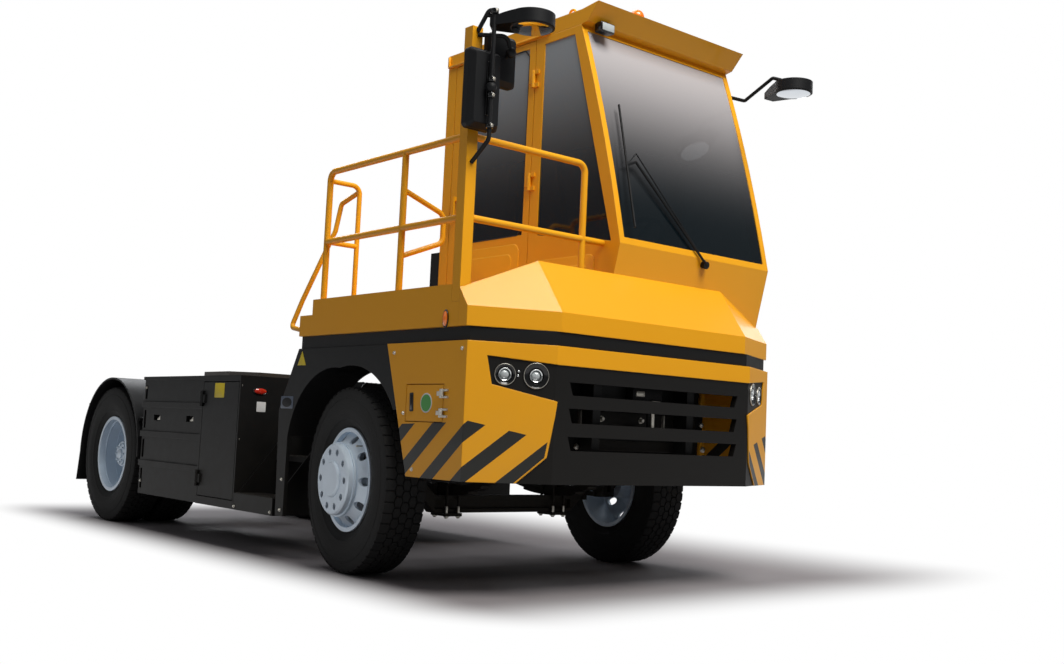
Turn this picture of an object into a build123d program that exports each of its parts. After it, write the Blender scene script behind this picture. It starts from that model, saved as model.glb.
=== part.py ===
from build123d import *
import math
import os

# Electric terminal tractor: a low chassis with a lifting fifth wheel, battery boxes between the axles,
# an offset cab on the left and a railed platform with steps on the right.
# X points forward, Y to the left and Z up, in millimetres. Pieces are drawn with X = 0 at the front axle
# and moved to the middle of the vehicle's length when they are written.

# Driving dimensions of the whole vehicle
BODY_WIDTH = 2500.0
WHEELBASE = 3765.0
FRONT_OVERHANG = 1407.0
REAR_OVERHANG = 735.0
TYRE_R = 560.0
TYRE_WIDTH = 290.0
SIDE_Y = BODY_WIDTH / 2
WHEEL_SET_IN = 36.0
WHEEL_OUTER_Y = SIDE_Y - WHEEL_SET_IN
STEER_REST = 6.5
AXLE_Z = TYRE_R
REAR_X = -WHEELBASE
TAIL_X = REAR_X - REAR_OVERHANG
KERB_MIRROR_R = 125.0
KERB_MIRROR_X = 1350.0
MIDDLE_X = (WHEELBASE + REAR_OVERHANG - KERB_MIRROR_X - KERB_MIRROR_R) / 2

# Clearances shared by many pieces
SEAT_GAP = 0.3
PIN_GAP = 0.05
FACE_GAP = 0.5
MOVE_GAP = 6.0
OVERRUN = 20.0

# Levels of the front body, from the ground
BUMPER_LOW_Z = 618.0
BUMPER_TOP_Z = 1361.0
BAND_TOP_Z = 1439.0
LIP_TOP_Z = 1547.0
DECK_Z = 1571.0
KICK_TOP_Z = 1668.0
RIDGE_Z = 1846.0

# Plan of the front body: three facets, and a hood set a little further back
NOSE_SIDE = 447.0
NOSE_HALF_Y = SIDE_Y - NOSE_SIDE
BUMPER_CORNER_X = 1190.0
HOOD_NOSE_X = 1391.0
HOOD_SET_IN = 35.0
HOOD_NOSE_HALF_Y = NOSE_HALF_Y - HOOD_SET_IN
HOOD_CORNER_X = 1175.0
RIDGE_X = 1170.0
RIDGE_SIDE = 480.0
RIDGE_HALF_Y = SIDE_Y - RIDGE_SIDE
HIP_X = 1101.0
BODY_REAR_X = -600.0
SHEET = 25.0
PANEL = 40.0

# Chassis rails
RAIL_HALF_Y = 430.0
RAIL_LOW_Z = 800.0
RAIL_TOP_Z = 1060.0
RAIL_FRONT_X = 1150.0
RAIL_WEB = 12.0
RAIL_FLANGE = 80.0
CROSS_THICK = 40.0
CROSS_HIGH_Z = (830.0, 1030.0)
CROSS_LOW_Z = (800.0, 900.0)
CROSS_HIGH_X = (1050.0, -820.0, -1120.0, -2040.0)
CROSS_LIFT_X = -2870.0
CROSS_REAR_X = -3350.0
TAIL_THICK = 30.0
FRONT_PLATE_HALF_Y = 640.0
FRONT_PLATE_Z = (780.0, 1190.0)
FRONT_PLATE = 22.0
TOW_LUG_HALF_Y = 70.0
TOW_LUG_Z = (930.0, 1046.0)
TOW_LUG_PLATE = 14.0
TOW_PIN_X = 1325.0
TOW_PIN_R = 15.0
TOW_PIN_HEAD_R = 24.0
TOW_STRUT_Y = 360.0
TOW_STRUT = (60.0, 120.0)
UPPER_BLOCK_X = (-430.0, 950.0)
UPPER_BLOCK_HALF_Y = 500.0
UPPER_BLOCK_TOP_Z = 1330.0
TAIL_EAR_HALF_Y = 1150.0
TAIL_BAR_Z = (880.0, 980.0)
TAIL_LAMP = (70.0, 300.0, 96.0)
TAIL_LAMP_IN = 20.0

# Front axle, springs and steering
KINGPIN_IN = 314.0
KINGPIN_Y = WHEEL_OUTER_Y - KINGPIN_IN
KINGPIN_R = 20.0
BOSS_R = 52.0
BOSS_HEIGHT = 130.0
BEAM_HEIGHT = 110.0
BEAM_HALF_X = 45.0
BEAM_WEB = 24.0
BEAM_FLANGE = 26.0
BEAM_DROP = 145.0
BEAM_BEND_Y = (575.0, 730.0)
SPRING_Y = 450.0
SPRING_HALF_X = 600.0
SPRING_WIDTH = 76.0
SPRING_LEAF = 15.0
SPRING_SHARES = (0.45, 0.65, 0.85, 1.0)
SPRING_RISE = 120.0
HANGER = 50.0
HANGER_LOW_Z = 626.0
HANGER_UP = 110.0
CLAMP_X = 62.0
CLAMP_R = 9.0
CLAMP_DOWN = 30.0
CLAMP_PLATE = 20.0
EAR_THICK = 34.0
EAR_INNER = 48.0
EAR_OUTER = 90.0
YOKE_BACK = 58.0
SPINDLE_R = 45.0
STEER_ARM = 200.0
ARM_HALF_WIDTH = 26.0
ARM_THICK = 30.0
TIE_PIN_R = 12.0
TIE_EYE_R = 27.0
TIE_EYE_HEIGHT = 36.0
TIE_BAR_R = 16.0

# Wheels
RIM_SEAT_R = 300.0
RIM_FLANGE_R = 312.0
RIM_WALL = 14.0
RIM_HALF = 115.0
RIM_EDGE = 12.0
DISC = 12.0
HAND_HOLES = 10
HAND_HOLE_R = 27.0
HAND_HOLE_PITCH_R = 248.0
NAVE_R = 175.0
HUB_R = 105.0
FRONT_NAVE_R = 205.0
FRONT_NAVE_OUT = 148.0
FRONT_DISC_ROOT = 60.0
HUB_IN = 60.0
COVER_R = 214.0
COVER_OUT = 213.0
COVER_EDGE = 10.0
COVER_HOLES = 10
COVER_HOLE_R = 20.0
COVER_HOLE_PITCH_R = 167.0
COVER_HOLE_DEPTH = 40.0
HUB_CAP_R = 108.0
HUB_CAP_PROUD = 14.0
BULGE_R = 432.0
SHOULDER_DROP = 14.0
SHOULDER_HALF = 132.0
TREAD_HALF = 116.0
BEAD_TOP = 8.0
DUAL_SPACING = 330.0
REAR_SET_IN = 25.0
REAR_OUTER_Y = SIDE_Y - REAR_SET_IN
REAR_SPINDLE_R = 60.0
REAR_HUB_END = 40.0
CHAMBER_R = 68.0
CHAMBER_Y = 518.0
CHAMBER_UP = 125.0
CHAMBER_X = (-260.0, -50.0)
CHAMBER_BAND = 14.0

# Rear axle and driveline
AXLE_TUBE_R = 85.0
AXLE_TUBE_SHORT = 425.0
AXLE_TUBE_END_Y = REAR_OUTER_Y - AXLE_TUBE_SHORT
BANJO_R = 195.0
BANJO_HALF = 90.0
NOSE_R = 95.0
NOSE_REACH = 330.0
PAD_HALF_X = 110.0
PAD_WIDTH = 74.0
MOTOR_X = (-1900.0, -1260.0)
MOTOR_HALF_Y = 290.0
MOTOR_Z = (600.0, 1000.0)
MOTOR_EAR_Z = (860.0, 960.0)
MOTOR_EAR_LENGTH = 120.0
MOTOR_EAR_INSET = 70.0
SHAFT_R = 42.0
SHAFT_FLANGE_R = 78.0
SHAFT_FLANGE = 24.0
SHAFT_START_Z = 720.0

# Rear fenders
FENDER_SET_IN = 15.0
ARCH_R = 640.0
ARCH_SHEET = 14.0
ARCH_DEEP = 635.0
ARCH_INNER_Y = SIDE_Y - FENDER_SET_IN - ARCH_DEEP
BOX_ARCH_GAP = 30.0
FLAP_LOW_Z = 306.0
FLAP_THICK = 12.0
FLAP_OUT_X = 45.0
ARCH_BAR_R = 18.0
ARCH_BAR_OUT = 580.0
ARCH_BAR_UP = 300.0

# Battery boxes, with an equipment door in the right one
BOX_X = (REAR_X + ARCH_R + BOX_ARCH_GAP, -1400.0)
BOX_Z = (276.0, 1200.0)
BOX_SET_IN = 30.0
BOX_FACE_Y = SIDE_Y - BOX_SET_IN
BOX_SPLIT_X = -2000.0
RIB_OUT = 15.0
RIB_HEIGHT = 44.0
RIB_LEVELS = (520.0, 750.0, 980.0)
HAND_RECESS_SHARES = (0.251, 0.799)
HAND_RECESS_Z = 880.0
HAND_RECESS = (120.0, 30.0, 44.0)
DOOR_RECESS = 34.0
DOOR_MARGIN = 22.0
DOOR_LOW_MARGIN = 62.0
BOX_LID = 26.0
END_SLOT = (24.0, 58.0)
END_SLOT_DEPTH = 30.0

# Hinges: a pin held by two lugs, and a barrel between them
HINGE_PIN_R = 7.0
HINGE_R = 13.0
HINGE_LUG = 26.0
HINGE_BARREL = 60.0
HINGE_LEAF = 46.0
FLAP_LUG = 12.0
FLAP_BARREL = 24.0

# Steps behind the front wheel
STEP_X = (-1398.0, -845.0)
STEP_CHEEK = 14.0
# Columns: top of the tread, how far it is set in from the foot's edge, and its height
STEP_TREADS = ((390.0, 0.0, 114.0), (655.0, 300.0, 36.0), (920.0, 480.0, 36.0), (1185.0, 660.0, 36.0))
STEP_DEPTH = 230.0
STEP_NOSE = 26.0
STEP_OUTER_Y = SIDE_Y - FENDER_SET_IN
STEP_LOW_Z = 276.0
STEP_FOOT_Y = 900.0

# Front fenders: a flat black plate with a wheel arch and a lining round it
FENDER_Y = SIDE_Y - FENDER_SET_IN
FENDER_PLATE = 25.0
FENDER_LOW_Z = 286.0
FENDER_TOP_REAR_X = -616.0
FENDER_BULGE_X = -833.0
FENDER_BULGE_Z = 971.0
FENDER_FOOT_X = (-800.0, -700.0)
ARCH_TOP = (-100.0, 1232.0)
ARCH_REAR = (-700.0, 800.0)
ARCH_REAR_MIDDLE = (-510.0, 1112.0)
ARCH_FRONT = (505.0, 985.0)
ARCH_FRONT_MIDDLE = (290.0, 1180.0)
LINING = 16.0
LINING_DEEP = 335.0
LINING_INNER_Y = FENDER_Y - LINING_DEEP
SIDE_PANEL_TOP_X = 431.0
SIDE_PANEL_LOW_X = 684.0

# Black grille mask in the bumper, seen from the front: half width and height of each corner
MASK_TOP_Z = 1258.0
MASK_OUTER_TOP_Z = 1287.0
MASK_OUTER_LOW_Z = 1136.0
MASK_EAR_SETS_IN = (100.0, 128.0)
MASK_OUTER_TOP_Y = SIDE_Y - MASK_EAR_SETS_IN[0]
MASK_OUTER_LOW_Y = SIDE_Y - MASK_EAR_SETS_IN[1]
MASK_WAIST_IN = 13.0
MASK_WAIST_Y = NOSE_HALF_Y - MASK_WAIST_IN
MASK_WAIST_Z = 1060.0
MASK_KNEE_OUT = 33.0
MASK_KNEE_Y = NOSE_HALF_Y + MASK_KNEE_OUT
MASK_KNEE_Z = 760.0
MASK_FOOT_OUT = 182.0
MASK_FOOT_Y = NOSE_HALF_Y + MASK_FOOT_OUT
GRILLE_SLOT_IN = 103.0
GRILLE_SLOT_HALF_Y = NOSE_HALF_Y - GRILLE_SLOT_IN
GRILLE_SLOTS = ((1100.0, 1171.0), (950.0, 1029.0), (800.0, 876.0))
GRILLE_SLOT_LEAN = 26.0
GRILLE_SET = 8.0
LAMP_R = 43.0
LAMP_Z = 1192.0
LAMP_SHARES = (0.225, 0.575)
LAMP_OUT = 10.0
LAMP_DEPTH = 60.0

# Charging flap in the right side panel
FLAP_X = (655.0, 1000.0)
FLAP_Z = (925.0, 1125.0)
FLAP_GAP = 5.0
FLAP_PANEL = 14.0

# Cab
CAB_RIGHT_Y = -181.0
CAB_SET_IN = 54.0
CAB_LEFT_Y = SIDE_Y - CAB_SET_IN
CAB_REAR_X = -600.0
CAB_WALL = 45.0
BELT_X = 1213.0
BELT_Z = 2026.0
SCREEN_TOP_X = 793.0
SCREEN_TOP_Z = 3451.0
SCREEN_BULGE = 25.0
ROOF_Z = 3545.0
ROOF_LOW_Z = 3447.0
FLOOR_TOP_Z = 1611.0
VISOR_TOP_X = 945.0
VISOR_TOP_Z = 3562.0
VISOR_LOW_X = 850.0
VISOR_LOW_Z = 3458.0
VISOR_SHEET = 14.0
CAB_FRAME = 42.0
SCREEN_OPEN_Z = (2066.0, 3412.0)
GLASS = 12.0
GLASS_SET = 6.0
CAB_DOOR_X = (-500.0, 362.0)
CAB_DOOR_Z = (1602.0, 3440.0)
CAB_DOOR_GAP = 6.0
WINDOW_LOW_Z = 2163.0
WINDOW_TOP_Z = 3398.0
DOOR_WINDOW_X = (-385.0, 300.0)
QUARTER_REAR_X = 452.0
QUARTER_FRONT_SET = 72.0
QUARTER_LOW_REAR_Z = 2146.0
QUARTER_LOW_FRONT_Z = 2046.0
REAR_WINDOW_Z = (2250.0, 3330.0)
REAR_WINDOW_SPLIT_Y = 430.0
REAR_WINDOW_POST = 30.0
CAB_HINGE_Z = (2500.0, 3180.0)
DOOR_HANDLE_X = -425.0
DOOR_HANDLE_Z = 2420.0
DOOR_HANDLE = (30.0, 40.0, 160.0)
REAR_CASE_Y = (-175.0, -20.0)
REAR_CASE_Z = (1880.0, 2130.0)
REAR_CASE_OUT = 110.0

# Seat, console and steering wheel
SEAT_X = -130.0
SEAT_Y = 520.0
SEAT_BASE = 300.0
SEAT_Z = 1960.0
CUSHION = (500.0, 500.0, 110.0)
BACK_HEIGHT = 620.0
BACK_THICK = 110.0
BACK_LEAN = 10.0
HEAD = (90.0, 270.0, 180.0)
HEAD_GAP = 30.0
DASH_REAR_X = 800.0
DASH_FRONT_X = 1080.0
DASH_LOW_Z = 1640.0
DASH_TOP_Z = 2010.0
DASH_SLOPE = 90.0
COLUMN_R = 30.0
COLUMN_FOOT = (880.0, 1850.0)
COLUMN_HEAD = (620.0, 2180.0)
STEER_WHEEL_R = 215.0
STEER_RIM_R = 15.0
SPOKES = 3
SPOKE = 24.0

# Railings
TUBE_R = 20.0
THIN_TUBE_R = 16.0
POST = 70.0
POST_TOP_Z = 3085.0
RAIL_SET_IN = 34.0
RAIL_Y = RAIL_SET_IN - SIDE_Y
RAIL_TOP = 2484.0
RAIL_MID = 2036.0
RAIL_REAR_X = -378.0
RAIL_MIDDLE_X = 465.0
RAIL_BEND = 55.0
GATE_Y = -997.0
LOOP_OUT_Y = -925.0
LOOP_TOP_Z = 2262.0
LOOP_LOW_Z = 1872.0
LOOP_SHOULDER_Z = (2160.0, 1990.0)
FRONT_RAIL_END_Y = -350.0
FRONT_RAIL_STUB_Y = -201.0
HAND_BAR_R = 16.0
HAND_BAR_TOP_Z = 2395.0
HAND_BAR = ((-540.0, -1030.0, 2330.0), (-555.0, -1055.0, 2150.0), (-620.0, -1110.0, 1950.0),
            (-725.0, -1170.0, 1690.0), (-790.0, -1205.0, 1510.0))
HAND_BAR_END = (-1222.0, 1480.0)
HAND_BAR_BEND = 30.0

# Mirrors
BRACKET_R = 12.0
MIRROR_TUBE_X = 1235.0
MIRROR_TUBE_Y = -1208.0
MIRROR_TUBE_TOP_Z = 3212.0
MIRROR_TUBE_LOW_Z = 2436.0
MIRROR_ARM_Z = (3060.0, 2331.0)
MIRROR_BALL_R = 30.0
MAIN_MIRROR = (76.0, 216.0, 440.0)
MAIN_MIRROR_X = 1166.0
MAIN_MIRROR_Y = -1210.0
MAIN_MIRROR_Z = 2720.0
WIDE_MIRROR = (66.0, 200.0, 290.0)
WIDE_MIRROR_X = 1096.0
WIDE_MIRROR_Y = -1040.0
WIDE_MIRROR_Z = 2935.0
WIDE_BALL = (1170.0, -1033.0, 2967.0)
WIDE_ARM_BEND = (1180.0, -1070.0, 3050.0)
WIDE_ARM_Z = 3040.0
WIDE_ARM_R = 45.0
KERB_MIRROR_DEPTH = 58.0
KERB_MIRROR_DOME = 26.0
KERB_NECK = 225.0
KERB_NECK_HALF = 42.0
KERB_MIRROR_Y = -1040.0
KERB_MIRROR_Z = 3092.0
LEFT_BRACKET = (806.0, 3290.0)
LEFT_ARM_LOW = (935.0, 1240.0, 3243.0)
LEFT_ARM_HIGH = (1165.0, 1250.0, 3361.0)
LEFT_ARM_END = (1230.0, 1252.0, 3335.0)
LEFT_MIRROR = (1349.0, 1240.0, 3245.0)
MIRROR_SWELL = 26.0

# Beacon, roof eyes and wiper
BEACON = (695.0, 400.0)
BEACON_R = 48.0
BEACON_HEIGHT = 150.0
BEACON_FOOT = 26.0
EYE_PLACES = ((615.0, -100.0), (300.0, -100.0), (-400.0, 1100.0))
EYE_R = 30.0
EYE_BAR_R = 8.0
WIPER_PIVOT_Y = 560.0
WIPER_PIVOT_Z = 1990.0
WIPER_REACH_Y = 23.0
WIPER_REACH_Z = 2560.0
WIPER_BAR_R = 8.0
WIPER_OFF = 34.0
WIPER_CASE_R = 24.0
BLADE_Y = (-90.0, -36.0)
BLADE_Z = (2128.0, 2924.0)
WIPER_PAIR = 26.0
BLADE_THICK = 14.0

# Fifth wheel and its lift
FIFTH_X = -3450.0
FIFTH_PIN_Z = 1170.0
FIFTH_TOP_Z = 1300.0
FIFTH_LENGTH = 860.0
FIFTH_WIDTH = 900.0
FIFTH_PLATE = 56.0
FIFTH_CORNER = 190.0
KINGPIN_BORE_R = 25.5
JAW_DEPTH = 70.0
THROAT_HALF = 34.0
THROAT_MOUTH_HALF = 190.0
FIFTH_EAR_Y = (262.0, 300.0)
FIFTH_EAR_HALF_X = 90.0
FIFTH_EAR_DROP = 45.0
LIFT_PIVOT_X = -2150.0
LIFT_PIVOT_Z = 950.0
LIFT_PIN_R = 25.0
ARM_Y = (205.0, 245.0)
ARM_ROOT_HALF = 60.0
ARM_END_HALF = 55.0
ARM_TIE_R = 45.0
ARM_TIE_X = -2500.0
BRACKET_Y = (254.0, 300.0)
BRACKET_HALF = 60.0
FOOT_X = -3000.0
FOOT_Z = 580.0
FOOT_PIN_R = 20.0
EYE_X = -3150.0
EYE_Z = 1000.0
CYL_Y = 160.0
BARREL_R = 48.0
BARREL_LENGTH = 390.0
BARREL_START = 110.0
BORE_START = 125.0
NECK_R = 27.0
ROD_R = 26.0
EYE_OUT_R = 38.0
EYE_HALF = 28.0
ROD_IN = 130.0


def block(x, y, z):
    """A box between a low and a high value along each axis."""
    centre = Pos((x[0] + x[1]) / 2, (y[0] + y[1]) / 2, (z[0] + z[1]) / 2)
    return centre * Box(abs(x[1] - x[0]), abs(y[1] - y[0]), abs(z[1] - z[0]))


def prism_side(points, y):
    """An outline of (x, z) points, extruded between two Y planes."""
    face = make_face(Polyline([(px, y[0], pz) for px, pz in points], close=True))
    return extrude(face, amount=y[1] - y[0], dir=(0, 1, 0))


def prism_plan(points, z):
    """An outline of (x, y) points, extruded between two levels."""
    face = make_face(Polyline([(px, py, z[0]) for px, py in points], close=True))
    return extrude(face, amount=z[1] - z[0], dir=(0, 0, 1))


def prism_front(points, x):
    """An outline of (y, z) points, extruded between two X planes."""
    face = make_face(Polyline([(x[0], py, pz) for py, pz in points], close=True))
    return extrude(face, amount=x[1] - x[0], dir=(1, 0, 0))


def rod(start, end, radius):
    """A round bar from one point to another."""
    line = Vector(*end) - Vector(*start)
    return Plane(origin=start, z_dir=line) * Cylinder(radius, line.length,
                                                      align=(Align.CENTER, Align.CENTER, Align.MIN))


def tube(points, radius, bend):
    """A round tube along straight runs joined by bends of one radius."""
    path = FilletPolyline(*points, radius=bend)
    return sweep(Plane(origin=path @ 0, z_dir=path % 0) * Circle(radius), path=path)


def ring(inner, outer, low, high):
    """A ring round the Y axis between two radii and two places along it."""
    body = Pos(0, (low + high) / 2, 0) * Rot(90, 0, 0) * Cylinder(outer, high - low)
    if inner > 0:
        body -= Pos(0, (low + high) / 2, 0) * Rot(90, 0, 0) * Cylinder(inner, high - low + OVERRUN)
    return body


def spin(points):
    """A closed outline of (radius, place along Y) points, revolved round the Y axis."""
    face = make_face(Polyline([(r, s, 0) for r, s in points], close=True))
    return revolve(face, Axis.Y)


def mirrored(shape):
    """The same piece on the vehicle's other side."""
    return mirror(shape, about=Plane.XZ)


def side_of(shape, side):
    """A piece drawn on the left, given for the side asked for."""
    return shape if side == "left" else mirrored(shape)


def upright(x, y, z, radius):
    """A vertical round bar between two levels."""
    return Pos(x, y, (z[0] + z[1]) / 2) * Cylinder(radius, z[1] - z[0])


def hinge(x, y, z, leaf_y, reach_fixed, reach_moving, lug=HINGE_LUG, barrel=HINGE_BARREL):
    """One hinge with a vertical pin: the fixed lugs with their pin, and the moving barrel."""
    barrel_z = (z - barrel / 2, z + barrel / 2)
    low_z = (barrel_z[0] - FACE_GAP - lug, barrel_z[0] - FACE_GAP)
    high_z = (barrel_z[1] + FACE_GAP, barrel_z[1] + FACE_GAP + lug)
    leaf = (min(y, leaf_y), max(y, leaf_y))
    fixed = upright(x, y, (low_z[0], high_z[1]), HINGE_PIN_R)
    for level in (low_z, high_z):
        fixed += upright(x, y, level, HINGE_R)
        fixed += block(sorted((x, x + reach_fixed)), leaf, level)
    moving = upright(x, y, barrel_z, HINGE_R)
    moving += block(sorted((x, x + reach_moving)), leaf, barrel_z)
    moving -= upright(x, y, (low_z[0], high_z[1]), HINGE_PIN_R + PIN_GAP)
    return fixed, moving


def chassis_frame():
    """Two channel rails, their crossmembers, the tail plate and the front springs' hangers."""
    rail = block((TAIL_X, RAIL_FRONT_X), (RAIL_HALF_Y - RAIL_FLANGE, RAIL_HALF_Y), (RAIL_LOW_Z, RAIL_TOP_Z))
    rail -= block((TAIL_X - OVERRUN, RAIL_FRONT_X + OVERRUN),
                  (RAIL_HALF_Y - RAIL_FLANGE - OVERRUN, RAIL_HALF_Y - RAIL_WEB),
                  (RAIL_LOW_Z + RAIL_WEB, RAIL_TOP_Z - RAIL_WEB))
    spring_y = (SPRING_Y - SPRING_WIDTH / 2, SPRING_Y + SPRING_WIDTH / 2)
    for end in (SPRING_HALF_X, -SPRING_HALF_X - HANGER):
        rail += block((end, end + HANGER), spring_y, (HANGER_LOW_Z, RAIL_LOW_Z))
        rail += block((end, end + HANGER), (RAIL_HALF_Y, spring_y[1]), (RAIL_LOW_Z, RAIL_LOW_Z + HANGER_UP))
    frame = rail + mirrored(rail)
    places = [(x, CROSS_HIGH_Z) for x in CROSS_HIGH_X]
    places += [(CROSS_LIFT_X, CROSS_LOW_Z), (CROSS_REAR_X, CROSS_LOW_Z)]
    for x, z in places:
        frame += block((x - CROSS_THICK / 2, x + CROSS_THICK / 2),
                       (-RAIL_HALF_Y + RAIL_WEB, RAIL_HALF_Y - RAIL_WEB), z)
    frame += block((TAIL_X, TAIL_X + TAIL_THICK), (-RAIL_HALF_Y, RAIL_HALF_Y), (RAIL_LOW_Z, RAIL_TOP_Z))
    frame += block((TAIL_X, TAIL_X + TAIL_THICK), (-TAIL_EAR_HALF_Y, TAIL_EAR_HALF_Y), TAIL_BAR_Z)
    ears = lift_bracket() + foot_bracket()
    return frame + ears + mirrored(ears)


def tail_lamps():
    """The lamp housings that hang below both ends of the tail bar."""
    deep, wide, tall = TAIL_LAMP
    outer = TAIL_EAR_HALF_Y - TAIL_LAMP_IN
    return pair(block((TAIL_X, TAIL_X + deep), (outer - wide, outer), (TAIL_BAR_Z[0] - tall, TAIL_BAR_Z[0])))


def front_plate():
    """The plate across the rails' front ends, with the tow pin between its two lugs."""
    x = (RAIL_FRONT_X, RAIL_FRONT_X + FRONT_PLATE)
    body = block(x, (-FRONT_PLATE_HALF_Y, FRONT_PLATE_HALF_Y), FRONT_PLATE_Z)
    tip = TOW_PIN_X + TOW_PIN_HEAD_R
    low, high = TOW_LUG_Z
    for z in ((low, low + TOW_LUG_PLATE), (high - TOW_LUG_PLATE, high)):
        body += prism_plan([(x[0], -TOW_LUG_HALF_Y), (TOW_PIN_X, -TOW_PIN_HEAD_R), (tip, -TOW_PIN_HEAD_R),
                            (tip, TOW_PIN_HEAD_R), (TOW_PIN_X, TOW_PIN_HEAD_R), (x[0], TOW_LUG_HALF_Y)], z)
    body += upright(TOW_PIN_X, 0, (low - TOW_LUG_PLATE, high), TOW_PIN_R)
    body += upright(TOW_PIN_X, 0, (high, high + TOW_LUG_PLATE), TOW_PIN_HEAD_R)
    for side in (1, -1):
        wide, deep = TOW_STRUT
        body += block((x[1], x[1] + deep), sorted((side * TOW_STRUT_Y, side * (TOW_STRUT_Y + wide))), FRONT_PLATE_Z)
    return body


def upper_block():
    """The closed electric equipment on the rails below the cab, as one plain block."""
    return block(UPPER_BLOCK_X, (-UPPER_BLOCK_HALF_Y, UPPER_BLOCK_HALF_Y), (RAIL_TOP_Z, UPPER_BLOCK_TOP_Z))


def lift_bracket():
    """The left ear that holds the lift arms' pivot pin, standing on the crossmember in front of it."""
    ear = block((LIFT_PIVOT_X, CROSS_HIGH_X[-1]), BRACKET_Y,
                (LIFT_PIVOT_Z - BRACKET_HALF, LIFT_PIVOT_Z + BRACKET_HALF))
    ear += Pos(LIFT_PIVOT_X, 0, LIFT_PIVOT_Z) * ring(0, BRACKET_HALF, *BRACKET_Y)
    return ear + Pos(LIFT_PIVOT_X, 0, LIFT_PIVOT_Z) * ring(0, LIFT_PIN_R, ARM_Y[0], BRACKET_Y[1])


def foot_bracket():
    """The left pair of ears with the pin that holds a lift cylinder's foot, below a crossmember."""
    low, high = CYL_Y - EYE_HALF - MOVE_GAP, CYL_Y + EYE_HALF + MOVE_GAP
    back, front = CROSS_LIFT_X - CROSS_THICK / 2, CROSS_LIFT_X + CROSS_THICK / 2
    low_z = CROSS_LOW_Z[0]
    outline = [(back, low_z), (front, low_z), (front, FOOT_Z - EYE_OUT_R), (FOOT_X, FOOT_Z - EYE_OUT_R),
               (FOOT_X - EYE_OUT_R, FOOT_Z), (FOOT_X, FOOT_Z + EYE_OUT_R)]
    ears = prism_side(outline, (low - RAIL_WEB, low)) + prism_side(outline, (high, high + RAIL_WEB))
    return ears + Pos(FOOT_X, 0, FOOT_Z) * ring(0, FOOT_PIN_R, low - RAIL_WEB, high + RAIL_WEB)


def front_axle():
    """The forged beam, dropped between its kingpin bosses, with the leaf packs clamped on top."""
    high, low = AXLE_Z + BEAM_HEIGHT / 2, AXLE_Z - BEAM_HEIGHT / 2
    bend, outer = BEAM_BEND_Y
    half = [(bend, low - BEAM_DROP), (outer, low), (KINGPIN_Y, low), (KINGPIN_Y, high), (outer, high),
            (bend, high - BEAM_DROP)]
    outline = half + [(-y, z) for y, z in reversed(half)]
    beam = prism_front(outline, (-BEAM_HALF_X, BEAM_HALF_X))
    for face in (-1, 1):
        beam -= block(sorted((face * BEAM_WEB / 2, face * (BEAM_HALF_X + OVERRUN))), (-bend, bend),
                      (low - BEAM_DROP + BEAM_FLANGE, high - BEAM_DROP - BEAM_FLANGE))
    boss_z = (AXLE_Z - BOSS_HEIGHT / 2, AXLE_Z + BOSS_HEIGHT / 2)
    for y in (KINGPIN_Y, -KINGPIN_Y):
        beam += upright(0, y, boss_z, BOSS_R)
        beam -= block((-BOSS_R, BOSS_R), sorted((y, y * (1 + BOSS_R / KINGPIN_Y))), boss_z) \
            - upright(0, y, boss_z, BOSS_R)
        beam -= upright(0, y, (boss_z[0] - OVERRUN, boss_z[1] + OVERRUN), KINGPIN_R + PIN_GAP)
    spring = leaf_pack(high - BEAM_DROP)
    return beam + spring + mirrored(spring)


def leaf_pack(seat_z):
    """Left leaf spring: leaves of growing length on one curve, with the clamps that hold them to the beam."""
    radius = (SPRING_HALF_X ** 2 + SPRING_RISE ** 2) / (SPRING_RISE * 2)
    y = (SPRING_Y - SPRING_WIDTH / 2, SPRING_Y + SPRING_WIDTH / 2)
    pack = None
    for step, share in enumerate(SPRING_SHARES):
        outer = radius - step * SPRING_LEAF
        leaf = Pos(0, 0, seat_z + radius) * ring(outer - SPRING_LEAF, outer, *y)
        leaf &= block((-SPRING_HALF_X * share, SPRING_HALF_X * share), y, (seat_z - OVERRUN, seat_z + radius))
        pack = leaf if pack is None else pack + leaf
    top_z = seat_z + len(SPRING_SHARES) * SPRING_LEAF
    pack += block((-BEAM_HALF_X, BEAM_HALF_X), y, (seat_z - BEAM_WEB, top_z + CLAMP_PLATE))
    leg_y = (y[0] - CLAMP_R, y[1] + CLAMP_R)
    reach = (leg_y[0] - CLAMP_R * 2, leg_y[1] + CLAMP_R * 2)
    low_z = seat_z - BEAM_HEIGHT
    for x in (-CLAMP_X, CLAMP_X):
        for leg in leg_y:
            pack += upright(x, leg, (low_z - CLAMP_DOWN, top_z + CLAMP_R), CLAMP_R)
        pack += rod((x, leg_y[0], top_z + CLAMP_R), (x, leg_y[1], top_z + CLAMP_R), CLAMP_R)
    return pack + block((-CLAMP_X - CLAMP_R * 2, CLAMP_X + CLAMP_R * 2), reach, (low_z - CLAMP_PLATE, low_z))


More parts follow.
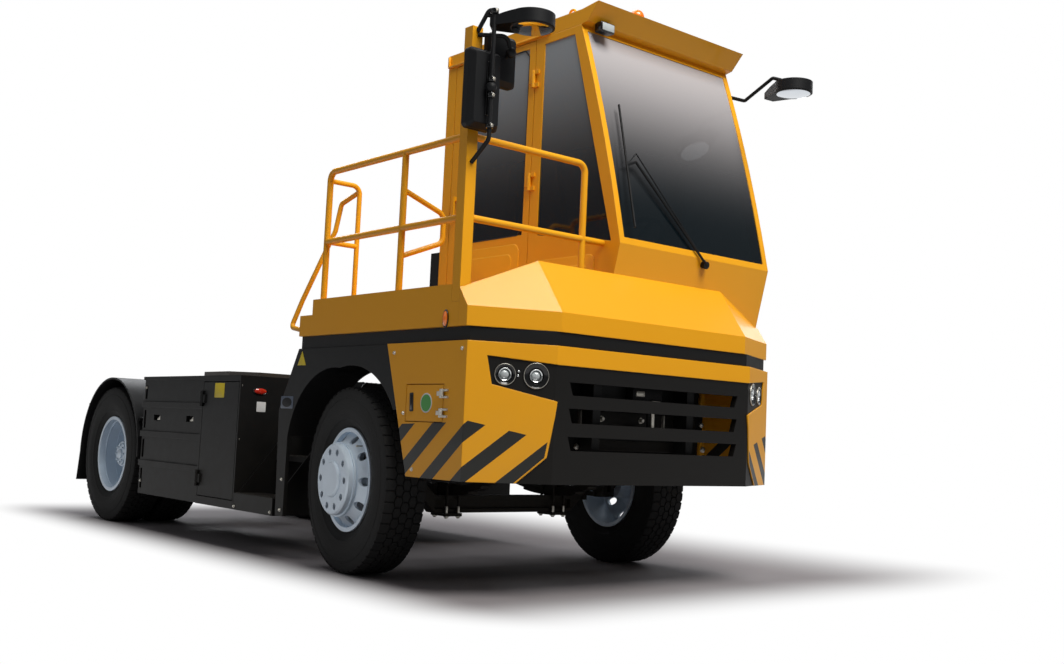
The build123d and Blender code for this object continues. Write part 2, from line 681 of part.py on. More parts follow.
def knuckle():
    """Left steering knuckle: a yoke round the beam's boss, its kingpin, spindle and steering arm."""
    low_z = AXLE_Z - BOSS_HEIGHT / 2 - FACE_GAP
    high_z = AXLE_Z + BOSS_HEIGHT / 2 + FACE_GAP
    half = BEAM_HALF_X
    y = KINGPIN_Y
    body = upright(0, y, (low_z - EAR_THICK, high_z + EAR_THICK), KINGPIN_R)
    for level in ((low_z - EAR_THICK, low_z), (high_z, high_z + EAR_THICK)):
        body += upright(0, y, level, EAR_INNER)
        body += block((-half, half), (y, y + EAR_OUTER), level)
    body += block((-half, half), (y + YOKE_BACK, y + EAR_OUTER), (low_z - EAR_THICK, high_z + EAR_THICK))
    tip_y = WHEEL_OUTER_Y - TYRE_WIDTH / 2 + FRONT_NAVE_OUT - RIM_EDGE
    body += Pos(0, 0, AXLE_Z) * ring(0, SPINDLE_R, y + YOKE_BACK, tip_y)
    arm_z = (low_z - EAR_THICK, low_z - EAR_THICK + ARM_THICK)
    body += block((-STEER_ARM, 0), (y - ARM_HALF_WIDTH, y + ARM_HALF_WIDTH), arm_z)
    body += upright(-STEER_ARM, y, arm_z, ARM_HALF_WIDTH)
    return body + upright(-STEER_ARM, y, (arm_z[0] - FACE_GAP - TIE_EYE_HEIGHT, arm_z[1]), TIE_PIN_R)


def tie_rod():
    """The bar that joins both steering arms from below, with an eye at each end."""
    low_z = AXLE_Z - BOSS_HEIGHT / 2 - FACE_GAP - EAR_THICK - FACE_GAP - TIE_EYE_HEIGHT
    eye_z = (low_z, low_z + TIE_EYE_HEIGHT)
    middle_z = low_z + TIE_EYE_HEIGHT / 2
    body = rod((-STEER_ARM, -KINGPIN_Y, middle_z), (-STEER_ARM, KINGPIN_Y, middle_z), TIE_BAR_R)
    for y in (KINGPIN_Y, -KINGPIN_Y):
        body += upright(-STEER_ARM, y, eye_z, TIE_EYE_R)
    for y in (KINGPIN_Y, -KINGPIN_Y):
        body -= upright(-STEER_ARM, y, (eye_z[0] - OVERRUN, eye_z[1] + OVERRUN), TIE_PIN_R + PIN_GAP)
    return body


def tyre_ring():
    """One tyre round the Y axis: bead, bulging sidewalls, shoulders and a flat crown."""
    bead_half = RIM_HALF - RIM_EDGE - SEAT_GAP
    bead_r = RIM_SEAT_R + SEAT_GAP
    bead_top = RIM_FLANGE_R + BEAD_TOP
    half = TYRE_WIDTH / 2
    shoulder_r = TYRE_R - SHOULDER_DROP
    profile = Line((bead_r, -bead_half), (bead_r, bead_half))
    profile += Line((TYRE_R, -TREAD_HALF), (TYRE_R, TREAD_HALF))
    for side in (1, -1):
        profile += Line((bead_r, side * bead_half), (bead_top, side * bead_half))
        profile += ThreePointArc((bead_top, side * bead_half), (BULGE_R, side * half),
                                 (shoulder_r, side * SHOULDER_HALF))
        profile += Line((shoulder_r, side * SHOULDER_HALF), (TYRE_R, side * TREAD_HALF))
    return revolve(make_face(profile), Axis.Y)


def rim_barrel():
    """One rim's barrel round the Y axis, with a flange at each edge."""
    barrel = ring(RIM_SEAT_R - RIM_WALL, RIM_SEAT_R, -RIM_HALF, RIM_HALF)
    for edge in (-RIM_HALF, RIM_HALF - RIM_EDGE):
        barrel += ring(RIM_SEAT_R - RIM_WALL, RIM_FLANGE_R, edge, edge + RIM_EDGE)
    return barrel


def hand_holes(low, high):
    """The round hand holes of a disc, as one cutter between two places along Y."""
    hole = Pos(HAND_HOLE_PITCH_R, (low + high) / 2, 0) * Rot(90, 0, 0) * Cylinder(HAND_HOLE_R, high - low)
    holes = [Rot(0, turn * 360 / HAND_HOLES, 0) * hole for turn in range(HAND_HOLES)]
    return Compound(holes)


def front_rim():
    """Left front rim: a coned disc out to its hub, and the thick nut cover with its holes and cap."""
    root, out = FRONT_DISC_ROOT, FRONT_NAVE_OUT
    seat_r = RIM_SEAT_R - RIM_WALL + RIM_EDGE
    disc = spin([(seat_r, root), (seat_r, root + DISC), (FRONT_NAVE_R, out + DISC), (0, out + DISC), (0, out),
                 (FRONT_NAVE_R - DISC, out)])
    disc -= hand_holes(root - OVERRUN, out + OVERRUN)
    cover = spin([(0, out + DISC), (COVER_R + COVER_EDGE, out + DISC), (COVER_R + COVER_EDGE, out + DISC * 2),
                  (COVER_R, out + DISC * 2), (COVER_R, COVER_OUT - COVER_EDGE), (COVER_R - COVER_EDGE, COVER_OUT),
                  (HUB_CAP_R, COVER_OUT), (HUB_CAP_R, COVER_OUT + HUB_CAP_PROUD - COVER_EDGE),
                  (HUB_CAP_R - COVER_EDGE, COVER_OUT + HUB_CAP_PROUD), (0, COVER_OUT + HUB_CAP_PROUD)])
    hole = Pos(COVER_HOLE_PITCH_R, COVER_OUT, 0) * Rot(90, 0, 0) * Cylinder(COVER_HOLE_R, COVER_HOLE_DEPTH * 2)
    cover -= Compound([Rot(0, turn * 360 / COVER_HOLES, 0) * hole for turn in range(COVER_HOLES)])
    hub = ring(0, HUB_R, -HUB_IN, out + DISC)
    bore_end = out - RIM_EDGE + FACE_GAP
    return rim_barrel() + disc + cover + hub - ring(0, SPINDLE_R + PIN_GAP, -HUB_IN - OVERRUN, bore_end)


def rear_rims():
    """Left rear pair of rims, dished towards each other, on one hub. Y = 0 lies between the two."""
    half = DUAL_SPACING / 2
    body = None
    for side in (1, -1):
        rim = Pos(0, side * half, 0) * rim_barrel()
        root = side * (half - RIM_HALF + RIM_EDGE * 2)
        disc = spin([(RIM_SEAT_R - RIM_WALL + RIM_EDGE, root), (RIM_SEAT_R - RIM_WALL + RIM_EDGE, root + side * DISC),
                     (NAVE_R, side * DISC), (0, side * DISC), (0, 0), (NAVE_R - DISC, 0)])
        disc -= hand_holes(*sorted((-side * OVERRUN, root + side * OVERRUN * 2)))
        body = rim + disc if body is None else body + rim + disc
    hub_end = half + REAR_HUB_END
    body += ring(0, HUB_R, -half / 2, hub_end - RIM_EDGE) + ring(0, HUB_R - RIM_EDGE, 0, hub_end)
    return body - ring(0, REAR_SPINDLE_R + PIN_GAP, -half, half)


def front_wheel_y():
    return WHEEL_OUTER_Y - TYRE_WIDTH / 2


def rear_wheel_y():
    return REAR_OUTER_Y - TYRE_WIDTH / 2 - DUAL_SPACING / 2


def rear_axle():
    """The drive axle: housing tubes, banjo, pinion nose, spindles and the pads under the rails."""
    axle = ring(0, AXLE_TUBE_R, -AXLE_TUBE_END_Y, AXLE_TUBE_END_Y)
    spindle_end = rear_wheel_y() + DUAL_SPACING / 2 - FACE_GAP
    axle += ring(0, REAR_SPINDLE_R, -spindle_end, spindle_end)
    axle += ring(0, BANJO_R, -BANJO_HALF, BANJO_HALF)
    axle = Pos(REAR_X, 0, AXLE_Z) * axle
    axle += shaft_line(BANJO_R / 2, NOSE_REACH, NOSE_R)
    for side in (1, -1):
        axle += block((REAR_X - PAD_HALF_X, REAR_X + PAD_HALF_X),
                      sorted((side * (RAIL_HALF_Y - PAD_WIDTH), side * RAIL_HALF_Y)),
                      (AXLE_Z, RAIL_LOW_Z))
        y, z = side * CHAMBER_Y, AXLE_Z + CHAMBER_UP
        start, end = REAR_X + CHAMBER_X[0], REAR_X + CHAMBER_X[1]
        middle = (start + end) / 2
        axle += rod((start, y, z), (end, y, z), CHAMBER_R - CHAMBER_BAND)
        axle += rod((start, y, z), (middle, y, z), CHAMBER_R - CHAMBER_BAND / 2)
        axle += rod((middle - CHAMBER_BAND, y, z), (middle + CHAMBER_BAND, y, z), CHAMBER_R)
        axle += block((end - CHAMBER_BAND, REAR_X + CHAMBER_BAND), (y - CHAMBER_BAND, y + CHAMBER_BAND), (AXLE_Z, z))
    return axle


def shaft_line(start, end, radius):
    """A round bar along the propeller shaft's line, between two distances from the rear axle's centre."""
    foot = Vector(REAR_X, 0, AXLE_Z)
    way = Vector(MOTOR_X[0], 0, SHAFT_START_Z) - foot
    unit = way.normalized()
    low, high = foot + unit * start, foot + unit * end
    return rod((low.X, low.Y, low.Z), (high.X, high.Y, high.Z), radius)


def driveline():
    """The drive motor as a plain block hung between the rails, and the shaft to the rear axle."""
    body = block(MOTOR_X, (-MOTOR_HALF_Y, MOTOR_HALF_Y), MOTOR_Z)
    inner_y = RAIL_HALF_Y - RAIL_WEB
    for start in (MOTOR_X[0] + MOTOR_EAR_INSET, MOTOR_X[1] - MOTOR_EAR_INSET - MOTOR_EAR_LENGTH):
        body += block((start, start + MOTOR_EAR_LENGTH), (-inner_y, inner_y), MOTOR_EAR_Z)
    reach = math.dist((MOTOR_X[0], SHAFT_START_Z), (REAR_X, AXLE_Z))
    body += shaft_line(NOSE_REACH + SEAT_GAP, reach + SHAFT_FLANGE, SHAFT_R)
    body += shaft_line(NOSE_REACH + SEAT_GAP, NOSE_REACH + SEAT_GAP + SHAFT_FLANGE, SHAFT_FLANGE_R)
    return body + shaft_line(reach - SHAFT_FLANGE * 2, reach - SHAFT_FLANGE, SHAFT_FLANGE_R)


def battery_box(with_door):
    """Left battery box with ledge ribs and hand recesses. The right one has an equipment door's recess."""
    box = block(BOX_X, (RAIL_HALF_Y, BOX_FACE_Y), BOX_Z)
    rib_end_x = BOX_SPLIT_X if with_door else BOX_X[1]
    for level in RIB_LEVELS:
        box += block((BOX_X[0], rib_end_x), (BOX_FACE_Y, BOX_FACE_Y + RIB_OUT),
                     (level - RIB_HEIGHT / 2, level + RIB_HEIGHT / 2))
    for share in HAND_RECESS_SHARES:
        place = BOX_X[0] + (BOX_SPLIT_X - BOX_X[0]) * share
        box -= block((place - HAND_RECESS[0] / 2, place + HAND_RECESS[0] / 2),
                     (BOX_FACE_Y - HAND_RECESS[1], BOX_FACE_Y + OVERRUN),
                     (HAND_RECESS_Z - HAND_RECESS[2] / 2, HAND_RECESS_Z + HAND_RECESS[2] / 2))
    box += block(BOX_X, (BOX_FACE_Y, BOX_FACE_Y + RIB_OUT), (BOX_Z[1] - BOX_LID, BOX_Z[1]))
    levels = [BOX_Z[0], *RIB_LEVELS, BOX_Z[1] - BOX_LID]
    for low, high in zip(levels, levels[1:]):
        box -= block((BOX_X[0] + END_SLOT[0], BOX_X[0] + END_SLOT[1]), (BOX_FACE_Y - END_SLOT_DEPTH, BOX_FACE_Y + OVERRUN),
                     (low + RIB_HEIGHT, high - RIB_HEIGHT))
    if with_door:
        x, z = door_place()
        gap = MOVE_GAP
        box += block((BOX_SPLIT_X, BOX_X[1]), (BOX_FACE_Y, BOX_FACE_Y + RIB_OUT), BOX_Z)
        box -= block((x[0] - gap, x[1] + gap), (BOX_FACE_Y + RIB_OUT - DOOR_RECESS, BOX_FACE_Y + OVERRUN * 2),
                     (z[0] - gap, z[1] + gap))
        for fixed, _ in cabinet_hinges():
            box += fixed
    return box


def door_place():
    """The equipment door's reach along X and Z."""
    return ((BOX_SPLIT_X + DOOR_MARGIN, BOX_X[1] - DOOR_MARGIN),
            (BOX_Z[0] + DOOR_LOW_MARGIN, BOX_Z[1] - BOX_LID - DOOR_MARGIN))


def cabinet_hinges():
    """Both hinges of the equipment door, drawn on the left side, at its rear edge."""
    x, z = door_place()
    face = BOX_FACE_Y + RIB_OUT
    levels = (z[0] + HINGE_BARREL * 2, z[1] - HINGE_BARREL * 2)
    return [hinge(x[0] - MOVE_GAP / 2, face + HINGE_R, level, face, -HINGE_LEAF, HINGE_LEAF) for level in levels]


def cabinet_door():
    """The equipment door, drawn on the left side."""
    x, z = door_place()
    face = BOX_FACE_Y + RIB_OUT
    door = block(x, (face - DOOR_RECESS + MOVE_GAP, face), z)
    for _, moving in cabinet_hinges():
        door += moving
    return door


def access_steps():
    """Stairs drawn on the left side: a box step at the foot and treads that climb inward to the rail's top."""
    outer = STEP_OUTER_Y
    top, _, _ = STEP_TREADS[0]
    last_z, last_in, _ = STEP_TREADS[-1]
    inner = outer - last_in - STEP_DEPTH
    cheek = [(RAIL_HALF_Y, RAIL_LOW_Z), (STEP_FOOT_Y, STEP_LOW_Z), (outer, STEP_LOW_Z), (outer, top),
             (outer - STEP_NOSE, top), (outer - last_in, last_z), (inner, last_z), (inner, RAIL_TOP_Z),
             (RAIL_HALF_Y, RAIL_TOP_Z)]
    body = prism_front(cheek, (STEP_X[0], STEP_X[0] + STEP_CHEEK))
    body += prism_front(cheek, (STEP_X[1] - STEP_CHEEK, STEP_X[1]))
    for top, inset, height in STEP_TREADS:
        body += block(STEP_X, (outer - inset - STEP_DEPTH, outer - inset), (top - height, top))
    return body


def front_fender():
    """Left front fender: the flat plate with its arch, and the lining over the tyre."""
    top = BUMPER_TOP_Z
    lean = (SIDE_PANEL_LOW_X - SIDE_PANEL_TOP_X) / (BUMPER_TOP_Z - BUMPER_LOW_Z)
    panel_x = SIDE_PANEL_TOP_X + (BUMPER_TOP_Z - ARCH_FRONT[1]) * lean - FACE_GAP
    outer = [(FENDER_FOOT_X[0], FENDER_LOW_Z), (FENDER_BULGE_X, FENDER_BULGE_Z), (FENDER_TOP_REAR_X, top),
             (SIDE_PANEL_TOP_X - FACE_GAP, top), (panel_x, ARCH_FRONT[1]), ARCH_FRONT]
    spots = [(x, 0, z) for x, z in outer]
    edge = Polyline(*spots)
    edge += ThreePointArc(spots[-1], (ARCH_FRONT_MIDDLE[0], 0, ARCH_FRONT_MIDDLE[1]), (ARCH_TOP[0], 0, ARCH_TOP[1]))
    edge += ThreePointArc((ARCH_TOP[0], 0, ARCH_TOP[1]), (ARCH_REAR_MIDDLE[0], 0, ARCH_REAR_MIDDLE[1]),
                          (ARCH_REAR[0], 0, ARCH_REAR[1]))
    edge += Polyline((ARCH_REAR[0], 0, ARCH_REAR[1]), (FENDER_FOOT_X[1], 0, FENDER_LOW_Z), spots[0])
    plate = extrude(make_face(edge), amount=FENDER_PLATE, dir=(0, 1, 0))
    lining = extrude(make_face(edge), amount=FENDER_Y - LINING_INNER_Y, dir=(0, 1, 0))
    cut = Pos(0, 0, LINING) * Pos(0, LINING_INNER_Y - OVERRUN, 0) * extrude(
        make_face(edge), amount=FENDER_Y - LINING_INNER_Y + OVERRUN * 2, dir=(0, 1, 0))
    lining = Pos(0, LINING_INNER_Y, 0) * lining - cut
    lining -= block((FENDER_BULGE_X - OVERRUN, FENDER_FOOT_X[1] - OVERRUN),
                    (LINING_INNER_Y - OVERRUN, FENDER_Y), (0, ARCH_REAR[1]))
    solids = lining.solids().sort_by(SortBy.VOLUME)
    return Pos(0, FENDER_Y - FENDER_PLATE, 0) * plate + solids[-1]


def rear_fender():
    """Left rear fender: a sheet bent round the dual wheels, its mudflap and its two bars to the rail."""
    arch = ring(ARCH_R - ARCH_SHEET, ARCH_R, ARCH_INNER_Y, FENDER_Y)
    arch -= block((-ARCH_R - OVERRUN, ARCH_R + OVERRUN), (ARCH_INNER_Y - OVERRUN, FENDER_Y + OVERRUN),
                  (-ARCH_R - OVERRUN, 0))
    flap_x = -ARCH_R
    flap = prism_side([(flap_x, 0), (flap_x + FLAP_THICK, 0), (flap_x - FLAP_OUT_X + FLAP_THICK, FLAP_LOW_Z - AXLE_Z),
                       (flap_x - FLAP_OUT_X, FLAP_LOW_Z - AXLE_Z)], (ARCH_INNER_Y, FENDER_Y))
    arch += flap
    for x in (-ARCH_BAR_OUT, ARCH_BAR_OUT):
        arch += rod((x, RAIL_HALF_Y, ARCH_BAR_UP), (x, FENDER_Y - OVERRUN, ARCH_BAR_UP), ARCH_BAR_R)
    return Pos(REAR_X, 0, AXLE_Z) * arch


def nose_plan(inset):
    """Plan of the bumper from one side's rear end round the nose to the other, set in by a distance."""
    lean = math.atan2(FRONT_OVERHANG - BUMPER_CORNER_X, SIDE_Y - NOSE_HALF_Y)
    corner_x = BUMPER_CORNER_X - inset * math.tan(math.pi / 4 - lean / 2)
    nose_y = NOSE_HALF_Y - inset * math.tan(lean / 2)
    return corner_x, FRONT_OVERHANG - inset, nose_y, SIDE_Y - inset


def nose_solid(inset, rear_x, z):
    """The bumper's outline as a solid from a rear plane to the nose."""
    corner_x, nose_x, nose_y, side_y = nose_plan(inset)
    return prism_plan([(rear_x, -side_y), (corner_x, -side_y), (nose_x, -nose_y), (nose_x, nose_y),
                       (corner_x, side_y), (rear_x, side_y)], z)


def mask_outline():
    """Half of the grille mask's outline seen from the front, then the other half mirrored."""
    half = [(MASK_WAIST_Y, MASK_TOP_Z), (MASK_OUTER_TOP_Y, MASK_OUTER_TOP_Z),
            (MASK_OUTER_LOW_Y, MASK_OUTER_LOW_Z), (MASK_WAIST_Y, MASK_WAIST_Z), (MASK_KNEE_Y, MASK_KNEE_Z),
            (MASK_FOOT_Y, BUMPER_LOW_Z)]
    return half + [(-y, z) for y, z in reversed(half)]


def mask_cutter():
    return prism_front(mask_outline(), (SIDE_PANEL_LOW_X + OVERRUN, FRONT_OVERHANG + OVERRUN))


def bumper_shell(inset):
    z = (BUMPER_LOW_Z, BUMPER_TOP_Z)
    rear = SIDE_PANEL_TOP_X
    shell = nose_solid(inset, rear, z)
    return shell - nose_solid(inset + PANEL, rear - OVERRUN, (z[0] - OVERRUN, z[1] + OVERRUN))


def bumper():
    """The yellow bumper and side panels in one bent shell, with the mask and the charging flap cut out."""
    shell = bumper_shell(0) - mask_cutter()
    wedge = prism_side([(SIDE_PANEL_TOP_X - OVERRUN, BUMPER_TOP_Z), (SIDE_PANEL_TOP_X, BUMPER_TOP_Z),
                        (SIDE_PANEL_LOW_X, BUMPER_LOW_Z), (SIDE_PANEL_TOP_X - OVERRUN, BUMPER_LOW_Z)],
                       (-SIDE_Y - OVERRUN, SIDE_Y + OVERRUN))
    shell -= wedge
    shell -= block((FLAP_X[0] - FLAP_GAP, FLAP_X[1] + FLAP_GAP), (-SIDE_Y - OVERRUN, -SIDE_Y + PANEL / 2),
                   (FLAP_Z[0] - FLAP_GAP, FLAP_Z[1] + FLAP_GAP))
    for fixed, _ in flap_hinges():
        shell += fixed
    return shell


def grille():
    """The black mask with its three long openings, set back a little from the bumper's face."""
    body = bumper_shell(GRILLE_SET) & mask_cutter()
    for low, high in GRILLE_SLOTS:
        cut = [(-GRILLE_SLOT_HALF_Y + GRILLE_SLOT_LEAN, low), (GRILLE_SLOT_HALF_Y - GRILLE_SLOT_LEAN, low),
               (GRILLE_SLOT_HALF_Y, high), (-GRILLE_SLOT_HALF_Y, high)]
        body -= prism_front(cut, (FRONT_OVERHANG - PANEL * 2, FRONT_OVERHANG + OVERRUN))
    for place, way in lamp_places():
        body -= lamp_solid(place, way, LAMP_R + SEAT_GAP, LAMP_DEPTH + OVERRUN)
    return body


def lamp_places():
    """Centre and outward direction of each headlamp, on both slanted facets."""
    _, nose_x, nose_y, side_y = nose_plan(GRILLE_SET)
    corner_x = nose_plan(GRILLE_SET)[0]
    normal = Vector(side_y - nose_y, nose_x - corner_x, 0).normalized()
    places = []
    for share in LAMP_SHARES:
        x = nose_x + (corner_x - nose_x) * share
        y = nose_y + (side_y - nose_y) * share
        places.append((Vector(x, y, LAMP_Z), normal))
        places.append((Vector(x, -y, LAMP_Z), Vector(normal.X, -normal.Y, 0)))
    return places


def lamp_solid(place, way, radius, depth):
    start = place + way * LAMP_OUT
    end = place - way * depth
    return rod((end.X, end.Y, end.Z), (start.X, start.Y, start.Z), radius)


def headlamps():
    """Four round lamps, two on each slanted facet."""
    return Compound([lamp_solid(place, way, LAMP_R, LAMP_DEPTH) for place, way in lamp_places()])


def flap_hinges():
    """Both hinges of the charging flap, drawn on the right side at its front edge."""
    levels = (FLAP_Z[0] + FLAP_BARREL * 2, FLAP_Z[1] - FLAP_BARREL * 2)
    x = FLAP_X[1] + FLAP_GAP / 2
    y = -SIDE_Y - HINGE_R
    return [hinge(x, y, level, -SIDE_Y, HINGE_LEAF, -HINGE_LEAF, FLAP_LUG, FLAP_BARREL) for level in levels]


def charging_flap():
    """The charging flap in the right side panel, with its recessed handle slot."""
    flap = block(FLAP_X, (-SIDE_Y, -SIDE_Y + FLAP_PANEL), FLAP_Z)
    for _, moving in flap_hinges():
        flap += moving
    return flap


def front_subframe():
    """The black frame that shows as a band: it carries hood, platform, cab, bumper and fenders."""
    z = (BUMPER_TOP_Z, BAND_TOP_Z)
    frame = nose_solid(SHEET, BODY_REAR_X, z)
    for side in (1, -1):
        frame -= block((BODY_REAR_X + PANEL * 2, HOOD_CORNER_X - PANEL * 2),
                       sorted((side * (RAIL_HALF_Y + RAIL_FLANGE), side * (SIDE_Y - SHEET - PANEL * 2))),
                       (z[0] - OVERRUN, z[1] + OVERRUN))
    frame -= block((BODY_REAR_X + PANEL * 2, HOOD_CORNER_X - PANEL * 2),
                   (-RAIL_HALF_Y + RAIL_FLANGE, RAIL_HALF_Y - RAIL_FLANGE), (z[0] - OVERRUN, z[1] + OVERRUN))
    for x in (BODY_REAR_X + RAIL_FLANGE, RAIL_FRONT_X - RAIL_FLANGE * 2):
        for side in (1, -1):
            frame += block((x, x + RAIL_FLANGE), sorted((side * (RAIL_HALF_Y - RAIL_FLANGE), side * RAIL_HALF_Y)),
                           (RAIL_TOP_Z, z[0]))
    return frame


def hood_solid(inset):
    """The hood as a plain solid: a lip all round, a central slope and a slanted facet at each side."""
    corner = HOOD_CORNER_X - inset
    nose_x = HOOD_NOSE_X - inset
    side_y = SIDE_Y - inset
    plan = [(HIP_X, -side_y), (corner, -side_y), (nose_x, -HOOD_NOSE_HALF_Y), (nose_x, HOOD_NOSE_HALF_Y),
            (corner, side_y), (HIP_X, side_y), (RIDGE_X, RIDGE_HALF_Y), (RIDGE_X, -RIDGE_HALF_Y)]
    body = prism_plan(plan, (BAND_TOP_Z, RIDGE_Z - inset))
    lip_z = LIP_TOP_Z - inset / 2
    slope = [(nose_x, lip_z), (RIDGE_X, RIDGE_Z - inset), (RIDGE_X, RIDGE_Z + OVERRUN), (nose_x + OVERRUN, RIDGE_Z),
             (nose_x + OVERRUN, lip_z)]
    body -= prism_side(slope, (-SIDE_Y, SIDE_Y))
    for side in (1, -1):
        a = Vector(nose_x, side * HOOD_NOSE_HALF_Y, lip_z)
        b = Vector(corner, side * side_y, lip_z)
        c = Vector(RIDGE_X, side * RIDGE_HALF_Y, RIDGE_Z - inset)
        normal = (b - a).cross(c - a).normalized()
        if normal.Z < 0:
            normal = -normal
        tool = Plane(origin=a, z_dir=normal) * Box(SIDE_Y * 2, SIDE_Y * 2, SIDE_Y,
                                                   align=(Align.CENTER, Align.CENTER, Align.MIN))
        body -= tool
    return body


def hood():
    """The hood as a bent shell, closed at the back beside the cab and cut to meet the cab's front."""
    inner = Pos(0, 0, -OVERRUN) * hood_solid(SHEET)
    inner -= block((HIP_X - OVERRUN, RIDGE_X - SHEET), (-SIDE_Y, SIDE_Y), (BAND_TOP_Z - OVERRUN * 2, RIDGE_Z))
    shell = hood_solid(0) - inner
    return shell - cab_outer()


def platform():
    """The walking deck on the right: deck plate, outer and rear skirts and the kick plate."""
    y = (-SIDE_Y, CAB_RIGHT_Y)
    top = prism_plan([(BODY_REAR_X, y[0]), (HIP_X, y[0]), (RIDGE_X, -RIDGE_HALF_Y), (RIDGE_X, y[1]),
                      (BODY_REAR_X, y[1])], (DECK_Z - PANEL, DECK_Z))
    top += block((BODY_REAR_X, HIP_X), (y[0], y[0] + PANEL), (BAND_TOP_Z, DECK_Z))
    top += block((BODY_REAR_X, BODY_REAR_X + PANEL), y, (BAND_TOP_Z, DECK_Z))
    kick_x = (RAIL_REAR_X - POST, HIP_X - POST - FACE_GAP * 2)
    top += block(kick_x, (y[0], y[0] + SHEET / 2), (DECK_Z, KICK_TOP_Z))
    return top - cab_outer()


def cab_profile(inset):
    """Side view of the cab: floor, front panel, raked screen with a slight bulge, and rear wall."""
    lean = (BELT_X - RIDGE_X) / (BELT_Z - RIDGE_Z)
    front_low = BELT_X - (BELT_Z - BAND_TOP_Z) * lean - inset
    top_z = ROOF_LOW_Z
    rake = (BELT_X - SCREEN_TOP_X) / (SCREEN_TOP_Z - BELT_Z)
    screen_top = BELT_X - rake * (top_z - BELT_Z) - inset
    middle = ((BELT_X - inset + screen_top) / 2 + SCREEN_BULGE, (BELT_Z + top_z) / 2)
    rear = CAB_REAR_X + inset
    floor_z = BAND_TOP_Z if inset == 0 else FLOOR_TOP_Z
    low_x = front_low if inset == 0 else BELT_X - (BELT_Z - FLOOR_TOP_Z) * lean - inset
    roof_z = top_z if inset == 0 else top_z + OVERRUN
    edge = Polyline((screen_top, 0, top_z), (screen_top, 0, roof_z), (rear, 0, roof_z), (rear, 0, floor_z),
                    (low_x, 0, floor_z), (BELT_X - inset, 0, BELT_Z)) if inset else \
        Polyline((screen_top, 0, top_z), (rear, 0, roof_z), (rear, 0, floor_z), (low_x, 0, floor_z),
                 (BELT_X, 0, BELT_Z))
    edge += ThreePointArc((BELT_X - inset, 0, BELT_Z), (middle[0], 0, middle[1]), (screen_top, 0, top_z))
    return make_face(edge)


def cab_outer():
    body = extrude(cab_profile(0), amount=CAB_LEFT_Y - CAB_RIGHT_Y, dir=(0, 1, 0))
    return Pos(0, CAB_RIGHT_Y, 0) * body


def screen_line(z):
    """X of the straight line along the windscreen at a level."""
    return BELT_X - (BELT_X - SCREEN_TOP_X) / (SCREEN_TOP_Z - BELT_Z) * (z - BELT_Z)


def quarter_outline():
    """The fixed window between the door post and the windscreen pillar."""
    return [(QUARTER_REAR_X, QUARTER_LOW_REAR_Z),
            (screen_line(QUARTER_LOW_FRONT_Z) - QUARTER_FRONT_SET, QUARTER_LOW_FRONT_Z),
            (screen_line(WINDOW_TOP_Z) - QUARTER_FRONT_SET, WINDOW_TOP_Z), (QUARTER_REAR_X, WINDOW_TOP_Z)]


def side_outline():
    """The left side's main window, across from the door's."""
    return [(DOOR_WINDOW_X[0], WINDOW_LOW_Z), (DOOR_WINDOW_X[1], WINDOW_LOW_Z),
            (DOOR_WINDOW_X[1], WINDOW_TOP_Z), (DOOR_WINDOW_X[0], WINDOW_TOP_Z)]


def rear_panes():
    """Reach along Y of the two rear windows."""
    right = CAB_RIGHT_Y + CAB_WALL + CAB_FRAME
    left = CAB_LEFT_Y - CAB_WALL - CAB_FRAME
    return ((right, REAR_WINDOW_SPLIT_Y - REAR_WINDOW_POST), (REAR_WINDOW_SPLIT_Y + REAR_WINDOW_POST, left))


def screen_cutter():
    y = (CAB_RIGHT_Y + CAB_FRAME, CAB_LEFT_Y - CAB_FRAME)
    return block((SCREEN_TOP_X - CAB_WALL * 2, BELT_X + OVERRUN), y, SCREEN_OPEN_Z)


def cab_shell():
    """The cab's floor, walls and pillars, with every window and the doorway cut out."""
    inner = extrude(cab_profile(CAB_WALL), amount=CAB_LEFT_Y - CAB_RIGHT_Y - CAB_WALL * 2, dir=(0, 1, 0))
    shell = cab_outer() - Pos(0, CAB_RIGHT_Y + CAB_WALL, 0) * inner
    shell -= screen_cutter()
    right_y = (CAB_RIGHT_Y - OVERRUN, CAB_RIGHT_Y + CAB_WALL + OVERRUN / 2)
    left_y = (CAB_LEFT_Y - CAB_WALL - OVERRUN / 2, CAB_LEFT_Y + OVERRUN)
    for y in (right_y, left_y):
        shell -= prism_side(quarter_outline(), y)
    shell -= prism_side(side_outline(), left_y)
    gap = CAB_DOOR_GAP
    shell -= block((CAB_DOOR_X[0] - gap, CAB_DOOR_X[1] + gap), right_y, (CAB_DOOR_Z[0] - gap, CAB_DOOR_Z[1] + gap))
    for y in rear_panes():
        shell -= block((CAB_REAR_X - OVERRUN, CAB_REAR_X + CAB_WALL + OVERRUN), y, REAR_WINDOW_Z)
    for fixed, _ in cab_hinges():
        shell += fixed
    return shell


def rear_case():
    """The closed case bolted to the cab's rear wall beside the platform."""
    return block((CAB_REAR_X - REAR_CASE_OUT, CAB_REAR_X), REAR_CASE_Y, REAR_CASE_Z)


def cab_hinges():
    """Both hinges of the cab door, at its front edge on the platform's side."""
    x = CAB_DOOR_X[1] + CAB_DOOR_GAP / 2
    y = CAB_RIGHT_Y - HINGE_R
    return [hinge(x, y, level, CAB_RIGHT_Y, HINGE_LEAF, -HINGE_LEAF) for level in CAB_HINGE_Z]


